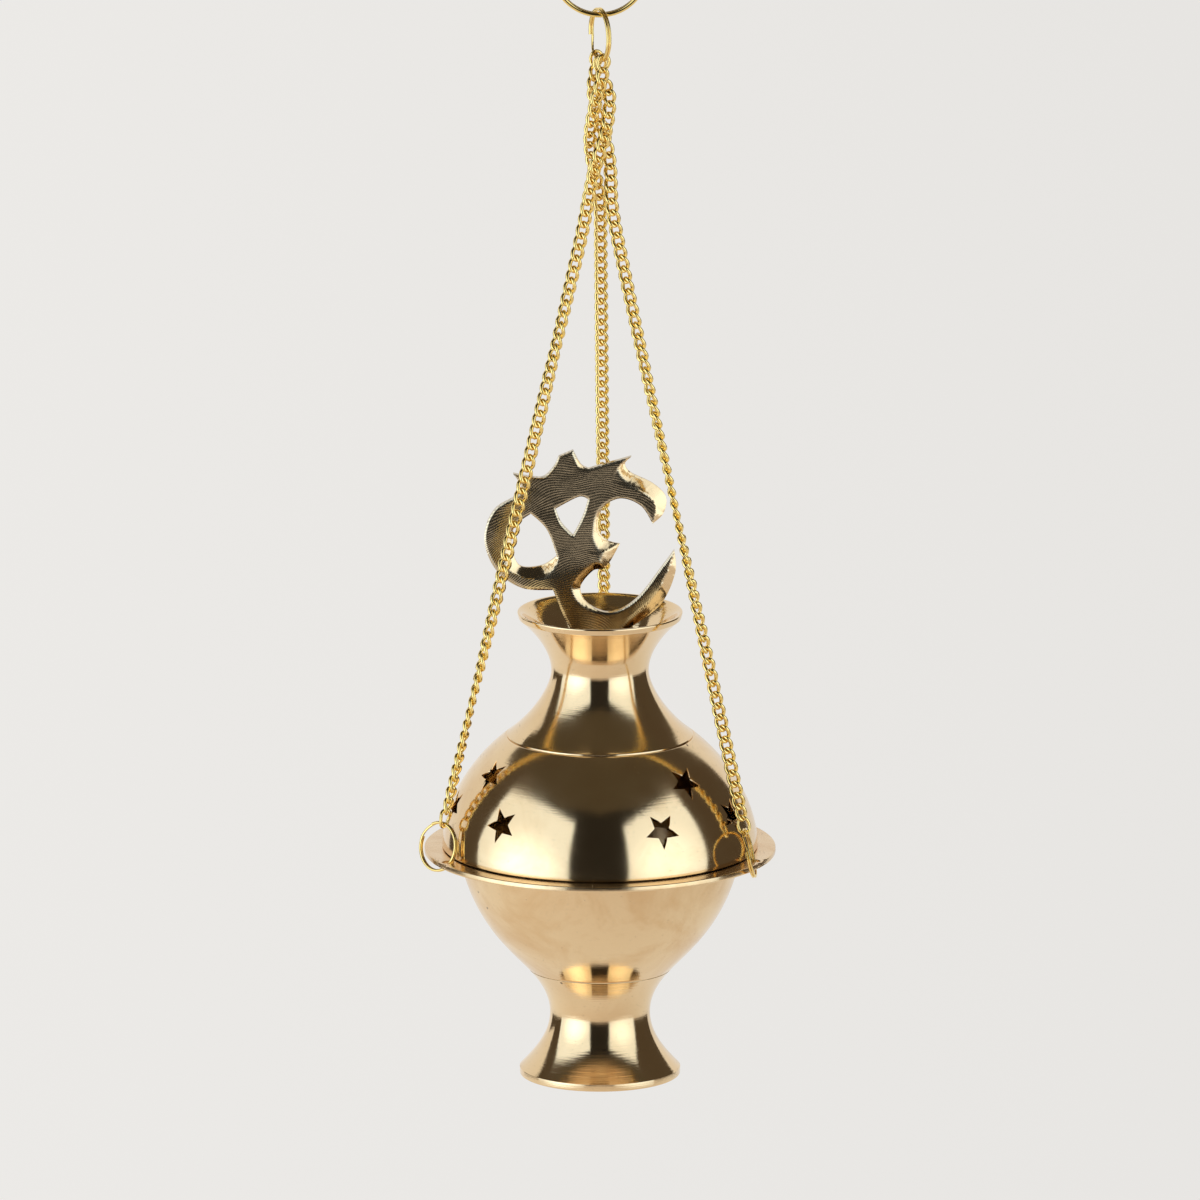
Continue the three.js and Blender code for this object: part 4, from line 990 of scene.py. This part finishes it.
def hand_polished_cast_brass(scene):
    """Cast brass plate, rubbed by hand with abrasive paper. The eye gets a greyer gold with fine
    curved scratches side by side, like a fingerprint, on the face, and a clear warm mirror on the
    bevels, which were buffed."""
    colour = tuple(scene.burner_colours.cast_brass)
    material, tree = start_material("hand_polished_cast_brass")
    place = add(tree, "ShaderNodeTexCoord").outputs["Object"]
    # Rings about the swirl's middle, bent by a slow drift of the hand
    drift = add(tree, "ShaderNodeTexNoise", {"Vector": place, "Scale": per(OM_DRIFT_SIZE), "Detail": 1.0})
    centred = add(tree, "ShaderNodeVectorMath", {
        0: drift.outputs["Color"], 1: (0.5, 0.5, 0.5)}, operation="SUBTRACT")
    moved = add(tree, "ShaderNodeVectorMath", {0: centred, "Scale": OM_DRIFT * MM}, operation="SCALE")
    bent = add(tree, "ShaderNodeVectorMath", {0: place, 1: moved}, operation="ADD")
    swirl = add(tree, "ShaderNodeVectorMath", {0: bent, 1: OM_SWIRL}, operation="SUBTRACT")
    rubbed = add(tree, "ShaderNodeTexWave", {
        "Vector": swirl, "Scale": math.pi / (10 * scene.burner_sizes.scratch_spacing)},
        wave_type="RINGS", rings_direction="Y").outputs["Fac"]
    bevel = add(tree, "ShaderNodeAttribute", attribute_name="bevel").outputs["Fac"]
    face = add(tree, "ShaderNodeMath", {0: 1.0, 1: bevel}, operation="SUBTRACT")
    lined = add(tree, "ShaderNodeMath", {0: rubbed, 1: face}, operation="MULTIPLY")
    fine = add(tree, "ShaderNodeTexNoise", {"Vector": place, "Scale": per(OM_GRIT), "Detail": 3.0})
    clouds = add(tree, "ShaderNodeTexNoise", {"Vector": place, "Scale": per(OM_SWELL_SIZE), "Detail": 3.0})
    dull = add(tree, "ShaderNodeMapRange", {
        "Value": clouds, "From Min": 0.35, "From Max": 0.7, "To Min": 0.11, "To Max": 0.17})
    duller = add(tree, "ShaderNodeMath", {0: face, 1: 0.07, 2: dull}, operation="MULTIPLY_ADD")
    greyer = [c * f for c, f in zip(colour, OM_FACE_TINT)]
    groove = [OM_GROOVE_SHADE * c for c in greyer]
    grooves = add(tree, "ShaderNodeMix", {
        "Factor": rubbed, "A": (*groove, 1.0), "B": (*greyer, 1.0)}, data_type="RGBA")
    tinted = add(tree, "ShaderNodeMix", {
        "Factor": bevel, "A": grooves.outputs["Result"], "B": (*colour, 1.0)}, data_type="RGBA")
    scratches = add(tree, "ShaderNodeBump", {"Strength": 1.0, "Distance": 0.01 * MM, "Height": lined})
    rough = add(tree, "ShaderNodeBump", {
        "Strength": 1.0, "Distance": 0.004 * MM, "Height": fine, "Normal": scratches})
    swell = add(tree, "ShaderNodeBump", {
        "Strength": 1.0, "Distance": 0.22 * MM, "Height": clouds, "Normal": rough})
    end_metal(tree, tinted.outputs["Result"], duller, swell)
    return material


def gilt_plated_wire(scene):
    """Iron wire plated in bright brass. The eye gets a yellow mirror, a little dull in patches
    where links have rubbed."""
    colour = tuple(scene.burner_colours.gilt_wire)
    material, tree = start_material("gilt_plated_wire")
    place = add(tree, "ShaderNodeTexCoord").outputs["Object"]
    rub = add(tree, "ShaderNodeTexNoise", {"Vector": place, "Scale": per(RUB_PATCH), "Detail": 3.0})
    dull = add(tree, "ShaderNodeMapRange", {
        "Value": rub, "From Min": 0.35, "From Max": 0.7, "To Min": 0.06, "To Max": 0.14})
    paler = (*(c * f for c, f in zip(colour, RUB_TINT)), 1.0)
    worn = add(tree, "ShaderNodeMix", {"Factor": rub, "A": (*colour, 1.0), "B": paler}, data_type="RGBA")
    dents = add(tree, "ShaderNodeBump", {"Strength": 1.0, "Distance": 0.006 * MM, "Height": rub})
    end_metal(tree, worn.outputs["Result"], dull, dents)
    return material


def dark_cloth(name, colour):
    """A dark studio card of one even colour, at the level at which the metal shows it."""
    material, tree = start_material(name)
    light = add(tree, "ShaderNodeEmission", {"Color": (*linear(colour), 1.0), "Strength": 1.0})
    add(tree, "ShaderNodeOutputMaterial", {"Surface": light})
    return material


def softbox_cloth(name, colour, lamp, strength, edge_strength):
    """A softbox cloth: brightest near its lamp, and weaker towards its edge."""
    material, tree = start_material(name)
    place = add(tree, "ShaderNodeTexCoord").outputs["Object"]
    away = add(tree, "ShaderNodeVectorMath", {0: place, 1: lamp}, operation="DISTANCE").outputs["Value"]
    fall = add(tree, "ShaderNodeMapRange", {
        "Value": away, "From Min": SOFTBOX_FALL[0], "From Max": SOFTBOX_FALL[1], "To Min": strength,
        "To Max": edge_strength}, interpolation_type="SMOOTHSTEP")
    light = add(tree, "ShaderNodeEmission", {"Color": (*linear(colour), 1.0), "Strength": fall})
    add(tree, "ShaderNodeOutputMaterial", {"Surface": light})
    return material


def seen_rays(tree):
    """1 for camera, glossy and transmission rays, so that metal shows the same background."""
    path = add(tree, "ShaderNodeLightPath").outputs
    pair = add(tree, "ShaderNodeMath", {
        0: path["Is Camera Ray"], 1: path["Is Glossy Ray"]}, operation="MAXIMUM")
    return add(tree, "ShaderNodeMath", {0: pair, 1: path["Is Transmission Ray"]}, operation="MAXIMUM")


# Stage

def set_camera():
    """A long lens at the photograph's angle: focal length = sensor * distance / picture width."""
    camera = bpy.data.cameras.new("camera")
    camera.sensor_width = SENSOR_WIDTH
    camera.lens = SENSOR_WIDTH * CAMERA_DISTANCE / PICTURE_WIDTH
    seat = new_object("camera", camera)
    tilt = math.radians(CAMERA_ELEVATION)
    target = Vector((0, 0, (PICTURE_MIDDLE - HOOK_HEIGHT) * MM))
    seat.location = target + CAMERA_DISTANCE * Vector((0, -math.cos(tilt), math.sin(tilt)))
    seat.rotation_euler = (math.pi / 2 - tilt, 0, 0)
    bpy.context.scene.camera = seat
    bpy.context.scene.view_settings.view_transform = "Standard"


def set_world(pale):
    """The pale backdrop for seen rays, and a soft even fill for the rest."""
    world = bpy.data.worlds.new("pale_studio")
    bpy.context.scene.world = world
    world.use_nodes = True
    tree = world.node_tree
    tree.nodes.clear()
    seen = add(tree, "ShaderNodeBackground", {"Color": (*pale, 1.0), "Strength": 1.0})
    fill = add(tree, "ShaderNodeBackground", {"Color": (*pale, 1.0), "Strength": FILL_STRENGTH})
    mixed = add(tree, "ShaderNodeMixShader", {0: seen_rays(tree), 1: fill, 2: seen})
    add(tree, "ShaderNodeOutputWorld", {"Surface": mixed})


def pale_paper(pale):
    """Matt paper of the floor. The eye gets a pale ground with painted shade, a little darker near the
    camera and to the right, that keeps some of the burner's shadow."""
    material, tree = start_material("pale_paper_floor")
    place = add(tree, "ShaderNodeTexCoord").outputs["Object"]
    split = add(tree, "ShaderNodeSeparateXYZ", {"Vector": place})
    paper = add(tree, "ShaderNodeBsdfDiffuse", {"Color": (*pale, 1.0)})
    reach = {"From Min": -FLOOR_SHADE_REACH, "From Max": FLOOR_SHADE_REACH}
    # Painted light and shade: the floor's glow is a little brighter to the left and weaker to the right
    right = add(tree, "ShaderNodeMapRange", {
        "Value": split.outputs["X"], **reach, "To Min": 1.1, "To Max": 0.98})
    # Painted shade: the floor's colour is darker near the camera
    far = add(tree, "ShaderNodeMapRange", {"Value": split.outputs["Y"], **reach})
    painted_floor_shade = add(tree, "ShaderNodeMix", {
        "Factor": far, "A": (*linear(FLOOR_PAINTED_SHADE_COLOUR), 1.0), "B": (*pale, 1.0)}, data_type="RGBA")
    glow = add(tree, "ShaderNodeEmission", {"Color": painted_floor_shade.outputs["Result"], "Strength": right})
    share = add(tree, "ShaderNodeMath", {0: seen_rays(tree), 1: 1 - FLOOR_SHADOW}, operation="MULTIPLY")
    mixed = add(tree, "ShaderNodeMixShader", {0: share, 1: paper, 2: glow})
    add(tree, "ShaderNodeOutputMaterial", {"Surface": mixed})
    return material


def set_floor(pale):
    """A wide level floor with points (R cos a, R sin a, level) on its rim."""
    turn = 2 * np.pi * np.arange(FLOOR_SIDES) / FLOOR_SIDES
    rim = np.stack([FLOOR_RADIUS * np.cos(turn), FLOOR_RADIUS * np.sin(turn), FLOOR_LEVEL + 0 * turn], -1)
    stage_face("floor", rim.tolist(), pale_paper(pale))


def stage_face(name, corners, material):
    """One flat face as a piece of the stage."""
    mesh = bpy.data.meshes.new(name)
    mesh.from_pydata([tuple(c) for c in corners], [], [tuple(range(len(corners)))])
    mesh.materials.append(material)
    made = new_object(name, mesh)
    return made


def card(name, corners, material, lights=False):
    """A flat card that the metal reflects. The camera doesn't see it."""
    made = stage_face(name, corners, material)
    made.visible_camera = False
    made.visible_diffuse = lights
    made.visible_shadow = False


def upright_card(name, azimuth, distance, ends, top, material, lights=False):
    """A card from the floor up, square to its direction as seen from the axis."""
    a = math.radians(azimuth)
    middle = distance * Vector((math.sin(a), -math.cos(a), 0))
    beside = Vector((math.cos(a), math.sin(a), 0))
    left, right = (middle + x * beside for x in ends)
    low, high = Vector((0, 0, FLOOR_LEVEL)), Vector((0, 0, top))
    card(name, (left + low, right + low, right + high, left + high), material, lights)


def set_cards():
    """Two tall softboxes in front, a dark room behind them and a dark ceiling."""
    for side, azimuth, ends, *cloth in SOFTBOXES:
        upright_card(f"softbox_{side}", azimuth, SOFTBOX_DISTANCE, ends, SOFTBOX_TOP,
                     softbox_cloth(f"{side}_softbox", *cloth), lights=True)
    cloths = {name: dark_cloth(name, colour) for name, colour in DARK_CLOTHS.items()}
    for wall, cloth, azimuths, half_width, top in WALLS:
        for azimuth in azimuths:
            upright_card(f"{wall}_{azimuth % 360}", azimuth, WALL_DISTANCE, (-half_width, half_width), top,
                         cloths[cloth])
    x = CEILING_HALF_WIDTH
    corners = [(a, b, CEILING_LEVEL) for a, b in ((-x, -x), (-x, x), (x, x), (x, -x))]
    card("dark_ceiling", corners, cloths["dark_ceiling"])


# Sizes, colours and build steps

def length(name, description, default, low, high):
    """A size that a user may change, given here in mm."""
    return bpy.props.FloatProperty(name=name, description=description, default=default * MM, min=low * MM,
                                   max=high * MM, unit="LENGTH", precision=6)


def tint(name, description, default):
    """A colour that a user may change, given here as sRGB hex and kept as linear values."""
    return bpy.props.FloatVectorProperty(name=name, description=description, default=linear(default),
                                         min=0.0, max=1.0, size=3, subtype="COLOR")


class BurnerSizes(bpy.types.PropertyGroup):
    """Sizes that a user may change."""

    link_wire: length("Link wire radius", "Radius of the wire of the chain links", 0.54, 0.2, 0.7)
    link_half_width: length(
        "Link half width", "From the middle of a link to the middle of its wire", 1.3, 0.8, 1.5)
    scratch_spacing: length(
        "Scratch spacing", "Between the polishing lines on the Om plate", 0.58, 0.2, 2)
    turning_depth: length(
        "Turning line depth", "Depth of the fine rings that the lathe left", 0.012, 0, 0.1)
    om_bevel_tilt: bpy.props.FloatProperty(
        name="Om bevel tilt", description="Tilt of the wide bevels on the Om plate",
        default=math.radians(21), min=0.0, max=math.radians(30), unit="ROTATION", subtype="ANGLE")


class BurnerColours(bpy.types.PropertyGroup):
    """Colours that a user may change."""

    turned_brass: tint("Turned brass", "Reflected colour of the turned body", "#F0D4A8")
    cast_brass: tint("Cast brass", "Reflected colour of the Om plate", "#EBCFA2")
    gilt_wire: tint("Gilt wire", "Reflected colour of the chains and rings", "#FBDD8C")
    backdrop: tint("Backdrop", "Pale colour of the floor and the background", "#ECEAE7")


class BURNER_OT_stage(bpy.types.Operator):
    """Set up the camera, the pale floor, the world and the studio cards"""

    bl_idname = "burner.stage"
    bl_label = "Stage"

    def execute(self, context):
        pale = tuple(context.scene.burner_colours.backdrop)
        set_camera()
        set_world(pale)
        set_floor(pale)
        set_cards()
        return {"FINISHED"}


class BURNER_OT_body(bpy.types.Operator):
    """Turn the foot, and the bowl with its drilled flange"""

    bl_idname = "burner.body"
    bl_label = "Foot and bowl"

    def execute(self, context):
        foot = lathe("foot_turned", foot_profile())
        dress(foot, polished_turned_brass("foot", context.scene), "foot", "burner")
        profile, bands = bowl_profile()
        step = step_at(profile, bands[0], SHELF_POINTS, 0, FLANGE_HOLE_CIRCLE)
        holes = [(azimuth, step, round_outline()) for azimuth, _, _ in STRANDS.values()]
        bowl = lathe("bowl_turned", profile, bands, holes)
        dress(bowl, polished_turned_brass("bowl", context.scene), "bowl", "burner")
        return {"FINISHED"}


class BURNER_OT_lid(bpy.types.Operator):
    """Turn the dome and the neck of the lid, and pierce the dome with stars"""

    bl_idname = "burner.lid"
    bl_label = "Pierced lid"

    def execute(self, context):
        profile, bands = dome_profile()
        holes = []
        for group, middle in enumerate(STAR_GROUPS):
            for share, aside, roll, more in GROUP_STARS:
                height = DOME_BASE + share * (DOME_TOP_HEIGHT - DOME_BASE)
                step = step_at(profile, bands[0], DOME_WALL_POINTS, 1, height)
                holes.append((middle + aside, step, star_outline(roll + more * group)))
        dome = lathe("lid_dome_pierced", profile, bands, holes)
        dress(dome, polished_turned_brass("dome", context.scene), "lid_dome", "lid")
        neck = lathe("lid_neck_turned", neck_profile())
        dress(neck, polished_turned_brass("neck", context.scene), "lid_neck", "lid")
        return {"FINISHED"}


class BURNER_OT_om(bpy.types.Operator):
    """Shape the Om plate with its wide bevels"""

    bl_idname = "burner.om_plate"
    bl_label = "Om plate"

    def execute(self, context):
        points, faces, bevel = om_plate(context.scene.burner_sizes.om_bevel_tilt)
        plate = make_mesh("om_plate", points, faces, crease=40, marks={"bevel": bevel})
        dress(plate, hand_polished_cast_brass(context.scene), "om_finial", "lid")
        return {"FINISHED"}


class BURNER_OT_rings(bpy.types.Operator):
    """Wind the split rings"""

    bl_idname = "burner.rings"
    bl_label = "Split rings"

    def execute(self, context):
        gilt = gilt_plated_wire(context.scene)
        up = np.array([0.0, 0.0, 1.0])
        plane, axis = heading(float(GATHER_RING_TURN)), heading(float(GATHER_RING_TURN + 90))
        hung = GATHER_RING_HEIGHT + ring_inner(GATHER_RING) - SWING_GAP - HANGING_RING[1] / 2
        rings = {
            "gather_ring": (
                GATHER_WIRE, GATHER_RING_HEIGHT * up, axis, jog_towards(GATHER_JOG, plane, up), "gather"),
            "hanging_ring": (
                HANGING_WIRE, (hung + HANGING_RING[0]) * up, heading(90.0),
                jog_towards(HANGING_JOG, heading(0.0), up), "hanger"),
        }
        for strand, (hole, _, _) in STRANDS.items():
            centre, pull, across, axis = ring_pose(hole)
            rings[f"flange_ring_{strand}"] = (
                FLANGE_WIRE, centre, axis, jog_towards(FLANGE_JOG, across, pull), f"ring_{strand}")
        for name, (wire, centre, axis, jog, body) in rings.items():
            points, faces = split_ring(wire, centre, axis, jog)
            dress(make_mesh(f"{name}_wire", points, faces), gilt, name, body)
        return {"FINISHED"}


class BURNER_OT_chains(bpy.types.Operator):
    """Link the three curb chains"""

    bl_idname = "burner.chains"
    bl_label = "Chains"

    def execute(self, context):
        gilt = gilt_plated_wire(context.scene)
        sizes = context.scene.burner_sizes
        for strand in STRANDS:
            points, faces = chain_links(strand, sizes.link_wire / MM, sizes.link_half_width / MM)
            links = make_mesh(f"chain_{strand}_links", points, faces, crease=80)
            dress(links, gilt, f"chain_{strand}", "burner")
        return {"FINISHED"}


class BURNER_PT_panel(bpy.types.Panel):
    """Sizes, colours and build steps of the burner"""

    bl_idname = "BURNER_PT_panel"
    bl_label = "Incense burner"
    bl_space_type = "VIEW_3D"
    bl_region_type = "UI"
    bl_category = "Burner"

    def draw(self, context):
        layout = self.layout
        for group in (context.scene.burner_sizes, context.scene.burner_colours):
            for key in group.__annotations__:
                layout.prop(group, key)
        for operator in STEPS:
            layout.operator(operator.bl_idname)


STEPS = (BURNER_OT_stage, BURNER_OT_body, BURNER_OT_lid, BURNER_OT_om, BURNER_OT_rings, BURNER_OT_chains)
CLASSES = (BurnerSizes, BurnerColours, *STEPS, BURNER_PT_panel)


def register():
    """Registers the classes and puts the sizes and colours on the scene."""
    for made in CLASSES:
        bpy.utils.register_class(made)
    bpy.types.Scene.burner_sizes = bpy.props.PointerProperty(type=BurnerSizes)
    bpy.types.Scene.burner_colours = bpy.props.PointerProperty(type=BurnerColours)


def unregister():
    """Takes the sizes, colours and classes away again."""
    del bpy.types.Scene.burner_sizes
    del bpy.types.Scene.burner_colours
    for made in reversed(CLASSES):
        bpy.utils.unregister_class(made)


def main():
    """Builds the whole scene in order."""
    register()
    bpy.ops.burner.stage()
    bpy.ops.burner.body()
    bpy.ops.burner.lid()
    bpy.ops.burner.om_plate()
    bpy.ops.burner.rings()
    bpy.ops.burner.chains()


if __name__ == "__main__":
    main()
